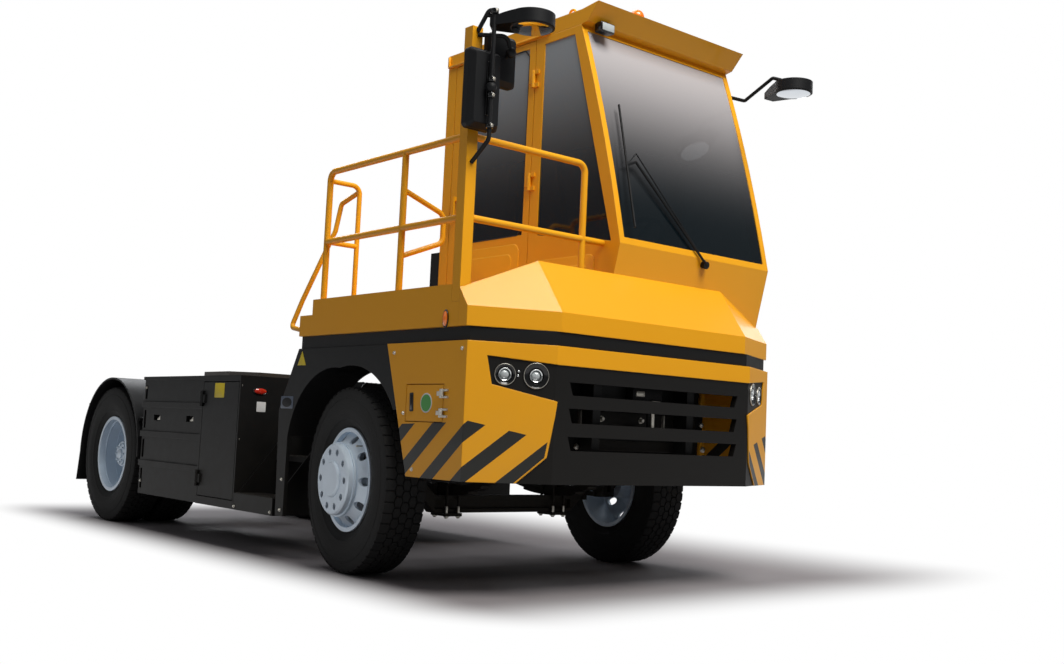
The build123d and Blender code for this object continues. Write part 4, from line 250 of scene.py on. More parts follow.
def painted(name):
    graph = Graph(name)
    z = graph.axes()[2]
    drift = graph.noise(DRIFT_SCALE, 2.0)
    low = z.between(FILM_ENDS_Z, FILM_FULL_Z)
    film = graph.noise(FILM_SCALE, 5.0, 0.65) * low * FILM_SHARE
    body = graph.mix(PAINT, PAINT_WARM, drift)
    graph.set(Base_Color=graph.mix(body, DUST, film), Roughness=PAINT_ROUGHNESS + film + 0.05 * drift,
              Coat_Weight=0.12, Coat_Roughness=0.1, Specular_IOR_Level=0.32,
              Normal=graph.bump(graph.noise(PEEL_SCALE, 1.0), PEEL_DEPTH, PAINT_EDGE_R))
    return graph


yellow = painted("yellow_paint").material

# %% [markdown]
# The charging flap's hinges are zinc, but they belong to the painted CAD pieces that they are fixed to.
# Everything that stands proud of the flat side panel is hinge there, so the place alone tells them apart.

# %% Zinc hinges on painted pieces
ZINC = shade(190, 186, 176)
ZINC_METALLIC = 0.85
PROUD = 0.0004


def with_hinges(graph):
    hinge = graph.axes()[1].below(-SIDE_Y - PROUD)
    graph.set(Base_Color=graph.mix(graph.base(), ZINC, hinge), Metallic=ZINC_METALLIC * hinge)
    return graph.material


flap_yellow = with_hinges(painted("flap_yellow"))

# %% [markdown]
# The bumper carries slanted warning stripes. They are taped across the side panel, round the corner
# and over the slanted facet as if the sheet were flat. So the mask first unrolls the sheet: the
# distance along it is the part of X behind the corner plus the part of Y past it, stretched by the
# facet's slant. On that unrolled distance every stripe is one straight band, found with a remainder.
# The tape ends along a line at its top, and along the edge of the black mask at its inner side.

# %% Striped paint for the bumper
CORNER_X, CORNER_Y = 1.19, 1.25
FACET_END_X, FACET_END_Y = 1.407, 0.803
FACET_STRETCH = math.hypot(FACET_END_X - CORNER_X, CORNER_Y - FACET_END_Y) / (CORNER_Y - FACET_END_Y)
STRIPE_SLOPE = 0.81
STRIPE_PERIOD = 0.224
STRIPE_WIDTH = 0.096
STRIPE_FIRST = 0.374
STRIPE_TOP = 0.93
TOP_RISE_SIDE = 0.04
TOP_STEP_FACET = 0.012
TOP_FALL_FACET = 0.19
STRIPE_BLACK = shade(30, 30, 27)
KNEE_Y = 0.836
KNEE_Z = 0.76
KNEE_SLOPE_LOW = 1.049
KNEE_SLOPE_HIGH = 0.153
TAPE_MARGIN = 0.012

striped = painted("striped_paint")
x, y, z = striped.axes()
side = y.size()
behind = (x - (AXLE_X + CORNER_X)).least(0.0)
past = (SIDE_Y - side).most(0.0) * FACET_STRETCH
level = z - STRIPE_SLOPE * (behind + past)
band = (level - STRIPE_FIRST).wrap(STRIPE_PERIOD, 0.0).below(STRIPE_WIDTH)
top = STRIPE_TOP + TOP_RISE_SIDE * behind + TOP_STEP_FACET * past.above(0.0) - TOP_FALL_FACET * past
drop = KNEE_Z - z
inner = KNEE_Y + TAPE_MARGIN + (drop * KNEE_SLOPE_LOW).most(drop * KNEE_SLOPE_HIGH)
tape = band * z.below(top) * side.above(inner) * level.above(STRIPE_FIRST)
striped.set(Base_Color=striped.mix(striped.base(), STRIPE_BLACK, tape))
with_hinges(striped)

# %% [markdown]
# Everything low and structural is painted black: rails, boxes, steps, fenders and the band under the
# deck. Black paint shows its form only by its shine, so its roughness changes softly, and a little
# pale dust lies in the noise near the ground.

# %% Black and dark finishes
CLOUD_SCALE = 14.0
RIPPLE_SCALE = 260.0
DARK_EDGE_R = 0.004
DUST_ENDS_Z = 1.4
DUST_FULL_Z = 0.2


def dark(name, colour, roughness, ripple=0.00015, dust=0.1, metallic=0.0, coat=0.0):
    graph = Graph(name)
    z = graph.axes()[2]
    cloud = graph.noise(CLOUD_SCALE, 5.0, 0.6)
    film = cloud * (z.between(DUST_ENDS_Z, DUST_FULL_Z) * (dust * 0.5))
    graph.set(Base_Color=graph.mix(colour, DUST, film), Roughness=roughness + 0.1 * (cloud - 0.5) + film,
              Metallic=metallic, Coat_Weight=coat, Specular_IOR_Level=0.18,
              Normal=graph.bump(graph.noise(RIPPLE_SCALE, 2.0), ripple, DARK_EDGE_R))
    return graph.material


black = dark("black_paint", shade(16, 17, 18), 0.5, dust=0.06)
steel = dark("dark_steel", shade(36, 35, 34), 0.58, dust=0.12, metallic=0.2, ripple=0.0005)
plastic = dark("black_plastic", shade(19, 20, 22), 0.52, ripple=0.0004, dust=0.03)
mask_black = dark("mask_black", shade(16, 15, 14), 0.5, dust=0.02)
gloss_black = dark("gloss_black", shade(16, 17, 18), 0.22, dust=0.02, coat=0.5)
trim = dark("interior_trim", shade(58, 60, 62), 0.65, ripple=0.0006, dust=0.0)

# %% [markdown]
# Tyre rubber is close to black but never glossy. A fine grain and broad pale patches keep it soft.
# Round its side run the thin moulded rings and the fine radial ribs that every truck tyre has; they
# follow the radius and the angle about the wheel's own axle, so each tyre's material knows where its
# axle is.

# %% Rubber
RUBBER = shade(20, 21, 22)
RUBBER_DUST = shade(74, 72, 68)
RUBBER_ROUGHNESS = 0.7
GRAIN_SCALE = 520.0
PATCH_SCALE = 6.0
RING_SCALE = 210.0
RINGS_FULL_R, RINGS_END_R = 0.47, 0.5
SIDE_RIBS = 220
RIBS_FROM_R, RIBS_TO_R = 0.372, 0.392
RIBS_EDGE = 0.002
SIDE_DEPTH = 0.0008


def rubber(name, axle, outward):
    graph = Graph(name)
    x, y, z = graph.axes()
    across = (y - axle.y) * outward.x * math.copysign(1.0, outward.y)
    dx, dz = (x - axle.x) * abs(outward.y) - across, z - axle.z
    radius = (dx * dx + dz * dz).root()
    angle = dz.angle(dx)
    grain = graph.noise(GRAIN_SCALE, 2.0)
    patch = graph.noise(PATCH_SCALE, 4.0, 0.6)
    rings = (radius * RING_SCALE).sine().between(0.75, 1.0)
    ribs = (angle * SIDE_RIBS).sine().between(0.0, 0.9)
    inside = radius.between(RIBS_FROM_R, RIBS_FROM_R + RIBS_EDGE)
    band = inside * (1.0 - radius.between(RIBS_TO_R, RIBS_TO_R + RIBS_EDGE))
    height = grain * 0.25 + ribs * band + rings * radius.between(RINGS_END_R, RINGS_FULL_R) * 0.6
    graph.set(Base_Color=graph.mix(RUBBER, RUBBER_DUST, patch * 0.2),
              Roughness=RUBBER_ROUGHNESS + 0.18 * patch, Specular_IOR_Level=0.25,
              Normal=graph.bump(height, SIDE_DEPTH))
    return graph.material


# %% [markdown]
# The wheels are silver-painted steel. Silver paint is a metal flake in lacquer, so it is partly
# metallic, with a fine sparkle in its roughness. Zinc, chrome, mirror glass and greasy steel differ
# from it only in colour, shine and flake, so one function makes them all.

# %% Silver, bright metal and chrome
SPARK_SCALE = 420.0
TARNISH_SCALE = 11.0
TARNISH_DIM = 0.72
METAL_EDGE_R = 0.003


def metal(name, colour, roughness, flake=0.1, metallic=0.85, ripple=0.00008):
    graph = Graph(name)
    spark = graph.noise(SPARK_SCALE, 1.0)
    cloud = graph.noise(TARNISH_SCALE, 4.0)
    graph.set(Base_Color=graph.mix(colour, dimmed(colour, TARNISH_DIM), cloud * 0.5),
              Metallic=metallic, Roughness=roughness + flake * (spark - 0.5) + 0.06 * cloud,
              Normal=graph.bump(spark, ripple, METAL_EDGE_R))
    return graph.material


silver = metal("silver", shade(224, 238, 250), 0.42, metallic=0.3)
zinc = metal("zinc_bolts", ZINC, 0.32)
chrome = metal("chrome_rod", shade(225, 227, 230), 0.1, flake=0.02, metallic=1.0)
mirror_glass = metal("mirror_glass", shade(215, 220, 226), 0.04, flake=0.0, metallic=1.0, ripple=0.0)
greased = metal("greased_steel", shade(92, 88, 84), 0.38, metallic=0.8)

# %% [markdown]
# The cab's glass is smoked. Its colour is a painted reflection of the sky: pale at its top and dark at
# its bottom. A true refracting glass would be slow and export badly. A glossy dark surface with an
# alpha that follows the height looks the same from outside: the alpha is how much of the smoke hides the
# cab.

# %% Glass
GLASS_LOW_Z = 2.05
GLASS_TOP_Z = 3.42
GLASS_ROUGHNESS = 0.04


def smoked_painted_sky(name, low_colour, painted_sky_colour, low_alpha, top_alpha):
    graph = Graph(name)
    height = graph.axes()[2].between(GLASS_LOW_Z, GLASS_TOP_Z)
    # The colour runs from dark at the bottom to pale at the top: a painted reflection of the sky.
    graph.set(Base_Color=graph.mix(low_colour, painted_sky_colour, height * height), Roughness=GLASS_ROUGHNESS,
              Alpha=low_alpha + (top_alpha - low_alpha) * height, IOR=1.5, Specular_IOR_Level=0.45)
    return graph.material


windscreen_glass = smoked_painted_sky("windscreen_glass", shade(12, 22, 27), shade(186, 182, 184), 0.8, 0.9)
side_glass = smoked_painted_sky("side_glass", shade(24, 28, 36), shade(160, 170, 178), 0.84, 0.88)

# %% [markdown]
# The rest are small: lamp lenses, the amber dome, reflectors, blank labels and the woven seat cover.
# One function with a fine grain serves most of them. The lamps' clear cover needs an alpha, and the
# weave is two crossed sine waves, so these two get trees of their own.

# %% Lenses, labels and fabric
MOTTLE_SCALE = 35.0


def plain(name, colour, roughness=0.35, grain=300.0, ripple=0.0001, painted_glow=0.0, coat=0.0, spread=0.12):
    """A single-coloured part with a fine grain, a slight mottle and, if asked, a painted glow."""
    graph = Graph(name)
    mottle = graph.noise(MOTTLE_SCALE, 3.0)
    graph.set(Base_Color=graph.mix(dimmed(colour, 1 - spread), colour, mottle),
              Roughness=roughness + 0.05 * mottle, Coat_Weight=coat,
              Normal=graph.bump(graph.noise(grain, 1.0), ripple))
    if painted_glow:
        graph.set(Emission_Color=colour, Emission_Strength=painted_glow)
    return graph.material


# The amber and red lenses get a faint painted glow, standing in for light shining through them; it is
# painted on the reflectors too, which are no lamps.
amber = plain("amber", shade(240, 120, 20), 0.18, painted_glow=0.15, coat=0.6)
red_lens = plain("red_lens", shade(190, 40, 22), 0.16, painted_glow=0.05, coat=0.6)
white_label = plain("white_label", shade(222, 224, 224), 0.45)
yellow_label = plain("yellow_label", shade(232, 206, 40), 0.45)
green_label = plain("green_label", shade(70, 158, 70), 0.4)
grey_label = plain("grey_label", shade(78, 88, 104), 0.45)
belt_red = plain("belt_red", shade(150, 30, 26), 0.75, grain=900.0, ripple=0.0006)
rubber_trim = plain("rubber_trim", shade(22, 22, 23), 0.72, ripple=0.0003)

lens = Graph("clear_lens")
lens.set(Base_Color=shade(205, 212, 216), Roughness=0.05 + 0.03 * lens.noise(60.0), Alpha=0.28,
         Coat_Weight=0.5)

THREADS = 2400.0
TWIST = 900.0
THREAD_DEPTH = 0.0012
weave = Graph("seat_fabric")
x, y, z = weave.axes()
thread = ((x * THREADS + z * TWIST).sine() * (y * THREADS + z * TWIST).sine()).between(-0.6, 0.8)
worn = weave.noise(14.0, 4.0)
weave.set(Base_Color=weave.mix(shade(26, 27, 30), shade(58, 60, 66), 0.5 * thread + 0.4 * worn),
          Roughness=0.86 + 0.08 * thread, Sheen_Weight=0.3, Normal=weave.bump(thread, THREAD_DEPTH))
weave = weave.material

# %% [markdown]
# Now every CAD node gets its finish. The table names the node's material; a node that a new piece
# will replace later gets one too, which does no harm.

# %% Finishes on the CAD nodes
FINISHES = {
    yellow: ("hood", "platform", "corner_post", "side_railing", "front_railing", "cab_shell", "cab_roof",
             "cab_door"),
    flap_yellow: ("charging_flap",),
    striped.material: ("bumper",),
    black: ("chassis_frame", "battery_box_left", "battery_box_right", "cabinet_door", "access_steps",
            "front_fenders", "front_subframe", "front_plate", "upper_block", "lift_boom", "lift_barrels"),
    plastic: ("rear_fenders", "mirrors", "wiper", "rear_case", "tail_lamps"),
    mask_black: ("grille",),
    steel: ("front_axle", "tie_rod", "rear_axle", "driveline", "steering_knuckle_left",
            "steering_knuckle_right"),
    greased: ("fifth_wheel",),
    chrome: ("lift_rods",),
    silver: ("front_rim_left", "front_rim_right", "rear_rims_left", "rear_rims_right"),
    windscreen_glass: ("windscreen",),
    side_glass: ("door_window", "cab_windows"),
    trim: ("driver_console",),
    weave: ("seat",),
    amber: ("beacon",),
    lens.material: ("headlamps",),
}
for material, names in FINISHES.items():
    for name in names:
        slots = nodes[name].data.materials
        slots.clear()
        slots.append(material)
print(len(FINISHES), "finishes on", len(nodes), "nodes")

# %% [markdown]
# From here on come the new pieces. Each one is built from parts: every part is made about the origin,
# where it is easy to think about, and then put in its place by a matrix. A bolt that is wanted twenty
# times is made once and put down twenty times.

# %% Helpers for pieces
MERGE = 0.00002


def dress(name, mesh, paints, body):
    """The object for a mesh, with its materials, riding on its body."""
    for paint in paints:
        mesh.materials.append(paint)
    mesh.shade_smooth()
    made = bpy.data.objects.new(name, mesh)
    scene.collection.objects.link(made)
    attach(made, body)
    return made


def piece(name, paints, slot, *parts, body="chassis", sharp=32.0):
    """One object. Each part is the number of its paint, its mesh, and the places it is put down at."""
    whole = bmesh.new()
    for paint, part, *places in parts:
        bmesh.ops.remove_doubles(part, verts=part.verts, dist=MERGE)
        bmesh.ops.recalc_face_normals(part, faces=part.faces)
        for face in part.faces:
            face.material_index = paint
        mesh = bpy.data.meshes.new("part")
        part.to_mesh(mesh)
        part.free()
        for place in places:
            copy = mesh.copy()
            copy.transform(place)
            whole.from_mesh(copy)
            bpy.data.meshes.remove(copy)
        bpy.data.meshes.remove(mesh)
    bmesh.ops.recalc_face_normals(whole, faces=whole.faces)
    mesh = bpy.data.meshes.new(name)
    whole.to_mesh(mesh)
    whole.free()
    made = dress(name, mesh, paints, body)
    mesh.set_sharp_from_angle(angle=math.radians(sharp))
    print(name, len(mesh.polygons), "faces")
    return made


def shift(x, y, z):
    return Matrix.Translation((x, y, z))


def spot(x, y, z):
    """A move to a point that is measured from the front axle."""
    return Matrix.Translation(at(x, y, z))


def spin(angle):
    return Matrix.Rotation(angle, 4, "Z")


def facing(place, way):
    """A matrix that takes the origin to a place and the Z axis to a direction."""
    return Matrix.Translation(place) @ Vector(way).to_track_quat("Z", "Y").to_matrix().to_4x4()


def lathe(profile, steps=24, closed=False):
    """A profile of (radius, height) turned round the Z axis."""
    bm = bmesh.new()
    points = [bm.verts.new((r, 0.0, h)) for r, h in profile]
    for a, b in zip(points, points[1:] + (points[:1] if closed else [])):
        bm.edges.new((a, b))
    bmesh.ops.spin(bm, geom=bm.verts[:] + bm.edges[:], cent=(0, 0, 0), axis=(0, 0, 1), angle=math.tau,
                   steps=steps, use_merge=True)
    return bm


def bevel(bm, edges, edge, segments):
    bmesh.ops.bevel(bm, geom=edges, offset=edge, offset_type="OFFSET", segments=segments, profile=0.5,
                    affect="EDGES", material=-1)


def brick(low, high, edge, segments=2):
    """A box between two corners with rounded edges."""
    bm = bmesh.new()
    low, high = Vector(low), Vector(high)
    size = Matrix.Diagonal((*(high - low), 1.0))
    bmesh.ops.create_cube(bm, size=1.0, matrix=Matrix.Translation((low + high) / 2) @ size)
    bevel(bm, bm.edges[:], edge, segments)
    return bm


def slab(outline, thick, edge=0.0, segments=2):
    """An outline in the XY plane, drawn up along Z, with its upper rim rounded."""
    bm = bmesh.new()
    face = bm.faces.new([bm.verts.new((*point, 0.0)) for point in outline])
    grown = bmesh.ops.extrude_face_region(bm, geom=[face])["geom"]
    bmesh.ops.translate(bm, verts=[g for g in grown if isinstance(g, bmesh.types.BMVert)],
                        vec=(0, 0, thick))
    if edge:
        bevel(bm, [e for e in bm.edges if all(v.co.z > thick / 2 for v in e.verts)], edge, segments)
    return bm


def plate(width, height, radius, thick, edge, segments=2):
    """A slab with round corners, about the origin."""
    corner_steps = 6
    points = []
    for quarter, (sx, sy) in enumerate(((1, 1), (-1, 1), (-1, -1), (1, -1))):
        for step in range(corner_steps + 1):
            angle = math.radians(90 * (quarter + step / corner_steps))
            points.append((sx * (width / 2 - radius) + radius * math.cos(angle),
                           sy * (height / 2 - radius) + radius * math.sin(angle)))
    return slab(points, thick, edge, segments)


def hex_bolt(radius, height):
    """A washer and a hexagon head with its turned top."""
    bm = lathe([(0, 0), (radius * 1.35, 0), (radius * 1.35, height * 0.2), (0, height * 0.2)], 14)
    head = lathe([(0, height * 0.1), (radius, height * 0.1), (radius, height * 0.85),
                  (radius * 0.8, height), (0, height)], 6)
    mesh = bpy.data.meshes.new("head")
    head.to_mesh(mesh)
    head.free()
    bm.from_mesh(mesh)
    bpy.data.meshes.remove(mesh)
    return bm


def wire(name, points, radius, paint, body="chassis", closed=False):
    """A bent rod, or a closed rubber strip, as a bevelled curve turned into a mesh."""
    curve = bpy.data.curves.new(name, "CURVE")
    curve.dimensions = "3D"
    curve.bevel_depth = radius
    curve.bevel_resolution = 2
    curve.use_fill_caps = not closed
    line = curve.splines.new("POLY" if closed else "NURBS")
    line.points.add(len(points) - 1)
    for point, place in zip(line.points, points):
        point.co = (*place, 1.0)
    line.use_cyclic_u = closed
    if not closed:
        line.order_u = 3
        line.use_endpoint_u = True
        line.resolution_u = 6
    maker = bpy.data.objects.new(name + "_line", curve)
    mesh = bpy.data.meshes.new_from_object(maker)
    bpy.data.objects.remove(maker)
    mesh.name = name
    mesh.materials.clear()
    return dress(name, mesh, (paint,), body)


# %% [markdown]
# A truck tyre is a smooth casing with blocks of tread on it. The casing is one profile turned round
# the axle. Its thin raised rings on the wall are part of the profile. A tread block is a hexagon whose
# two long sides are pointed, so that neighbouring rows leave a zigzag groove between them, and every
# second row is half a pitch further round. The outermost rows run over the shoulder and are cut down
# there. One block is made for each row, and matrices wrap it round the wheel.

# %% Tyres
FRONT_OUTWARD = Vector((0.1132, 0.9936, 0.0))
CASING = ((0.3008, 0.1), (0.32, 0.102), (0.33, 0.109), (0.348, 0.121), (0.364, 0.13), (0.3655, 0.133),
          (0.37, 0.1345), (0.3725, 0.1345), (0.395, 0.1415), (0.418, 0.1445), (0.44, 0.1445),
          (0.47, 0.1415), (0.489, 0.139), (0.49, 0.141), (0.495, 0.1403), (0.496, 0.1382), (0.52, 0.135),
          (0.533, 0.1325), (0.543, 0.1285), (0.5475, 0.118))
CASING_STEPS = 108
PITCHES = 54
HALF, WAIST, POINT = 0.029, 0.0155, 0.0245
BLOCK_FOOT_R, BLOCK_TOP_R = 0.544, 0.5592
BLOCK_EDGE = 0.0016
ROW_STEP = 0.046
SHOULDER_FROM, SHOULDER_REACH = 0.022, 0.0385
SHOULDER_SLANT = 0.006
SHOULDER_CUT = 0.0085
RISE = Matrix(((0, 0, 1, 0), (1, 0, 0, 0), (0, 1, 0, 0), (0, 0, 0, 1)))
front_half = [(-HALF, -WAIST), (0, -POINT), (HALF, -WAIST)]
hexagon = front_half + [(HALF, WAIST), (0, POINT), (-HALF, WAIST)]
shoulder = front_half + [(HALF, SHOULDER_FROM), (HALF - SHOULDER_SLANT, SHOULDER_REACH),
                         (SHOULDER_SLANT - HALF, SHOULDER_REACH), (-HALF, SHOULDER_FROM)]


def tyre_parts(wheel):
    """The parts of one tyre round the Z axis of a matrix."""
    profile = list(CASING) + [(r, -h) for r, h in reversed(CASING)]
    parts = [(0, lathe(profile, CASING_STEPS, closed=True), wheel)]
    tall = BLOCK_TOP_R - BLOCK_FOOT_R
    for row in range(-2, 3):
        block = slab(hexagon if abs(row) < 2 else shoulder, tall, BLOCK_EDGE, 1)
        for vert in block.verts:
            if vert.co.y > POINT and vert.co.z > tall / 2:
                share = (vert.co.y - SHOULDER_FROM) / (SHOULDER_REACH - SHOULDER_FROM)
                vert.co.z -= SHOULDER_CUT * share
        flip = Matrix.Diagonal((1.0, -1.0, 1.0, 1.0)) if row == -2 else Matrix()
        inward = shift(BLOCK_FOOT_R, 0, row * ROW_STEP) @ RISE @ flip
        turns = (math.tau * (pitch + 0.5 * (row % 2)) / PITCHES for pitch in range(PITCHES))
        parts.append((0, block, *(wheel @ spin(turn) @ inward for turn in turns)))
    return parts


TYRE_NODES = (
    # node, body, which way is outwards
    ("front_tyre_left", "front_wheel_left", FRONT_OUTWARD),
    ("front_tyre_right", "front_wheel_right", -FRONT_OUTWARD),
    ("rear_tyres_left", "rear_wheels_left", Vector((0, 1, 0))),
    ("rear_tyres_right", "rear_wheels_right", Vector((0, -1, 0))),
)
TYRE_HALF_WIDTH = 0.145
for node, body, outward in TYRE_NODES:
    low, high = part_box(node)
    centre = middle(node)
    levels = (low.y + TYRE_HALF_WIDTH, high.y - TYRE_HALF_WIDTH)
    if body.startswith("front"):
        levels = (centre.y,)
    parts = [part for y in levels for part in tyre_parts(facing((centre.x, y, centre.z), outward))]
    skin = rubber("rubber_" + node, centre, outward)
    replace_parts(piece(node + "_tread", (skin,), "tyre", *parts, body=body, sharp=40), node)

# %% [markdown]
# Each wheel is held by ten nuts. In front they lie deep in the holes of the round cover; at the back
# they stand on the dished disc, and the axle shaft's own flange shows its bolts on the hub's end. The
# tyre valve is a short stem by the barrel.

# %% Wheel nuts and valves
NUTS = 10
SHAFT_BOLTS = 8
SHAFT_END = 0.205
SHAFT_CAP = [(0, SHAFT_END), (0.04, SHAFT_END), (0.04, 0.215), (0.03, 0.22), (0, 0.222)]
OUTER_BEAD = [(0.2858, 0.22), (0.2858, 0.228), (0.279, 0.228), (0.279, 0.22)]
INNER_BEAD = [(0.2858, 0.13), (0.2858, 0.136), (0.282, 0.136), (0.282, 0.13)]
VALVE = [(0, 0), (0.0045, 0), (0.0045, 0.034), (0.0062, 0.035), (0.0062, 0.048), (0.004, 0.051), (0, 0.051)]
VALVE_R = 0.262


def around(wheel, count, radius, out):
    """Places spread evenly round a wheel's axis."""
    return [wheel @ spin(math.tau * i / count) @ shift(radius, 0, out) for i in range(count)]


for side, way in (("left", 1), ("right", -1)):
    wheel = facing(middle("front_tyre_" + side), way * FRONT_OUTWARD)
    piece("front_nuts_" + side, (greased, zinc), "dark_steel",
          (0, hex_bolt(0.0135, 0.026), *around(wheel, NUTS, 0.167, 0.1725)),
          (1, lathe(VALVE, 12), wheel @ spin(0.9) @ shift(VALVE_R, 0, 0.095)),
          body="front_wheel_" + side)
    wheel = facing(middle("rear_tyres_" + side), (0, way, 0))
    piece("rear_nuts_" + side, (silver, zinc), "dark_steel",
          (0, hex_bolt(0.015, 0.03), *around(wheel, NUTS, 0.143, 0.012)),
          (0, hex_bolt(0.01, 0.014), *around(wheel, SHAFT_BOLTS, 0.072, SHAFT_END)),
          (0, lathe(SHAFT_CAP, 28), wheel),
          (0, lathe(OUTER_BEAD, 64, closed=True), wheel),
          (0, lathe(INNER_BEAD, 64, closed=True), wheel),
          (1, lathe(VALVE, 12), wheel @ spin(1.3) @ shift(VALVE_R, 0, 0.19)),
          body="rear_wheels_" + side)

# %% [markdown]
# The headlamps are projector lamps: a dark bowl let into the mask, a bright ring in it, and a thick
# domed lens in the middle. The outer lamp of each pair has a narrow surround, the inner one a wide
# one, and a pale line runs round each. They are turned shapes, so a few profiles are enough, and they
# replace the plain cylinders of the CAD model. Two small sensors sit between them.

# %% Headlamps
LAMP_Z = 1.192
LAMPS_AT = ((1.3508, 0.9004, 0.07), (1.276, 1.0546, 0.058))
LAMP_SLANT_X, LAMP_SLANT_Y = 0.8996, 0.4367
HOLE_R = 0.0428
BOWL_IN = [(0, -0.05), (0.026, -0.046), (0.037, -0.028), (0.0395, -0.008), (0.043, 0.003)]
BOWL_OUT = [(0.044, 0.0005), (HOLE_R, -0.01), (HOLE_R - 0.002, -0.03), (0.03, -0.05), (0, -0.054)]
RING = [(0.0385, -0.008), (0.0385, -0.002), (0.0345, 0.0035), (0.0295, 0.001), (0.027, -0.01),
        (0.027, -0.02), (0.0345, -0.02)]
DOME = [(0, 0.0045), (0.008, 0.0035), (0.016, 0.0), (0.0225, -0.006), (0.026, -0.014), (0.026, -0.022),
        (0, -0.022)]
DOT = [(0, 0), (0.006, 0), (0.006, 0.003), (0.003, 0.005), (0, 0.005)]
DOTS_AT = ((1.308, 0.987, 1.212), (1.3065, 0.9905, 1.188))
chrome_bright = metal("lamp_chrome", shade(214, 216, 216), 0.12, flake=0.03, metallic=1.0, ripple=0.0)
lens_glass = plain("lamp_lens", shade(196, 204, 206), 0.05, ripple=0.0, coat=1.0, spread=0.3)
parts = []
for side in (1, -1):
    way = Vector((LAMP_SLANT_X, side * LAMP_SLANT_Y, 0.0))
    for x, y, rim in LAMPS_AT:
        place = facing(at(x, side * y, LAMP_Z), way)
        lip = [(rim - 0.01, 0.005), (rim - 0.004, 0.0085), (rim, 0.005), (rim, 0.0005)]
        line = [(rim - 0.0035, 0.0074), (rim - 0.001, 0.008), (rim + 0.0006, 0.005),
                (rim + 0.0006, 0.002), (rim - 0.0035, 0.002)]
        parts += [(0, lathe(BOWL_IN + lip + BOWL_OUT, 48), place), (1, lathe(RING, 48, True), place),
                  (2, lathe(DOME, 32), place), (3, lathe(line, 48, True), place)]
    parts.append((1, lathe(DOT, 12), *(facing(at(x, side * y, z), way) for x, y, z in DOTS_AT)))
lamps = piece("headlamp_units", (gloss_black, chrome_bright, lens_glass, zinc), "lamp", *parts)
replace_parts(lamps, "headlamps")

# %% [markdown]
# The charging flap is opened by a black recessed slot at its rear edge. On it sits a round green disc
# with a pale rim, left blank.

# %% Charging flap
TO_RIGHT_SIDE = Matrix(((1, 0, 0, 0), (0, 0, -1, 0), (0, 1, 0, 0), (0, 0, 0, 1)))
DISC_RIM = [(0, 0), (0.054, 0), (0.054, 0.0012), (0.0525, 0.0018), (0.0455, 0.0018), (0, 0.0016)]
DISC = [(0, 0.0008), (0.0465, 0.0008), (0.0465, 0.0024), (0, 0.0026)]
SLOT_LEAN = math.radians(4)


def on_side(x, z, y=-SIDE_Y):
    """A matrix for a flat piece on the vehicle's right side: its Z axis points out, its Y axis up."""
    return spot(x, y, z) @ TO_RIGHT_SIDE


piece("flap_details", (green_label, white_label, rubber_trim, gloss_black), "black_plastic",
      (1, lathe(DISC_RIM, 56), on_side(0.847, 1.026)),
      (0, lathe(DISC, 56), on_side(0.847, 1.026)),
      (2, plate(0.034, 0.104, 0.006, 0.0035, 0.0015), on_side(0.707, 1.03) @ spin(SLOT_LEAN)),
      (3, plate(0.02, 0.086, 0.004, 0.005, 0.0015), on_side(0.709, 1.03) @ spin(SLOT_LEAN)),
      body="charging_flap")

# %% [markdown]
# Through the three slots of the mask one sees the frame's front plate. On it sit thin upright bars,
# bolt heads, studs, a dark box, the tow pin, and at the left two narrow side plates in the body's
# colour. Blocks from a table do for most of it, since so little shows. They stand a little in front of
# the plate, where the light reaches them through the slots.

# %% Behind the grille
PLATE_X = 1.172
SUNK = -0.001
GRILLE_BLOCKS = (
    # start and end in front of the plate, then along Y, then in height, edge radius, paint
    (SUNK, 0.03, -0.411, -0.399, 1.09, 1.178, 0.0015, 1),
    (SUNK, 0.03, -0.305, -0.295, 1.09, 1.178, 0.0015, 1),
    (SUNK, 0.03, -0.424, -0.412, 0.94, 1.03, 0.0015, 1),
    (SUNK, 0.03, -0.31, -0.3, 0.94, 1.03, 0.0015, 1),
    (SUNK, 0.03, 0.257, 0.267, 0.94, 1.03, 0.0015, 1),
    (SUNK, 0.03, -0.315, -0.305, 0.795, 0.88, 0.0015, 1),
    (SUNK, 0.06, -0.045, 0.205, 1.098, 1.182, 0.006, 0),
    (0.058, 0.066, -0.02, 0.05, 1.13, 1.165, 0.003, 1),
    (0.058, 0.07, 0.11, 0.18, 1.102, 1.112, 0.002, 1),
    (SUNK, 0.02, -0.3, 0.4, 0.806, 0.868, 0.004, 3),
    (SUNK, 0.012, -0.29, 0.56, 0.936, 1.032, 0.004, 3),
    (SUNK, 0.022, 0.598, 0.638, 1.092, 1.182, 0.003, 2),
    (SUNK, 0.022, 0.598, 0.638, 0.795, 0.88, 0.003, 2),
)
GRILLE_BOLTS = ((0.011, -0.252, 0.988), (0.011, 0.385, 0.984), (0.011, 0.075, 0.99))
GRILLE_STUDS = ((SUNK, -0.425, 0.822), (0.02, 0.622, 0.832), (SUNK, 0.625, 0.986))
STUD_HEAD = [(0, 0), (0.019, 0), (0.019, 0.006), (0.014, 0.014), (0.006, 0.019), (0, 0.02)]
parts = [(paint, brick(at(PLATE_X + near, right, low), at(PLATE_X + far, left, high), edge), Matrix())
         for near, far, right, left, low, high, edge, paint in GRILLE_BLOCKS]
for part, places in ((hex_bolt(0.0135, 0.022), GRILLE_BOLTS), (lathe(STUD_HEAD), GRILLE_STUDS)):
    parts.append((1, part, *(facing(at(PLATE_X + out, y, z), FORWARD) for out, y, z in places)))
piece("grille_inside", (plastic, zinc, yellow, steel), "dark_steel", *parts)

TOW_PIN_HEAD = [(0, 0), (0.012, 0), (0.012, 0.11), (0.02, 0.112), (0.02, 0.122), (0, 0.124)]
piece("tow_pin_handle", (zinc,), "silver", (0, lathe(TOW_PIN_HEAD, 20), spot(1.352, 0.0, 0.928)))

# %% [markdown]
# Small bright screws hold the panels, and pale washers show where a panel is bolted through. They are
# one shape put down from a table of places. Each row of the table gives the face it sits on. The boxes
# and steps behind the fender's leg are bolted on the right side only.

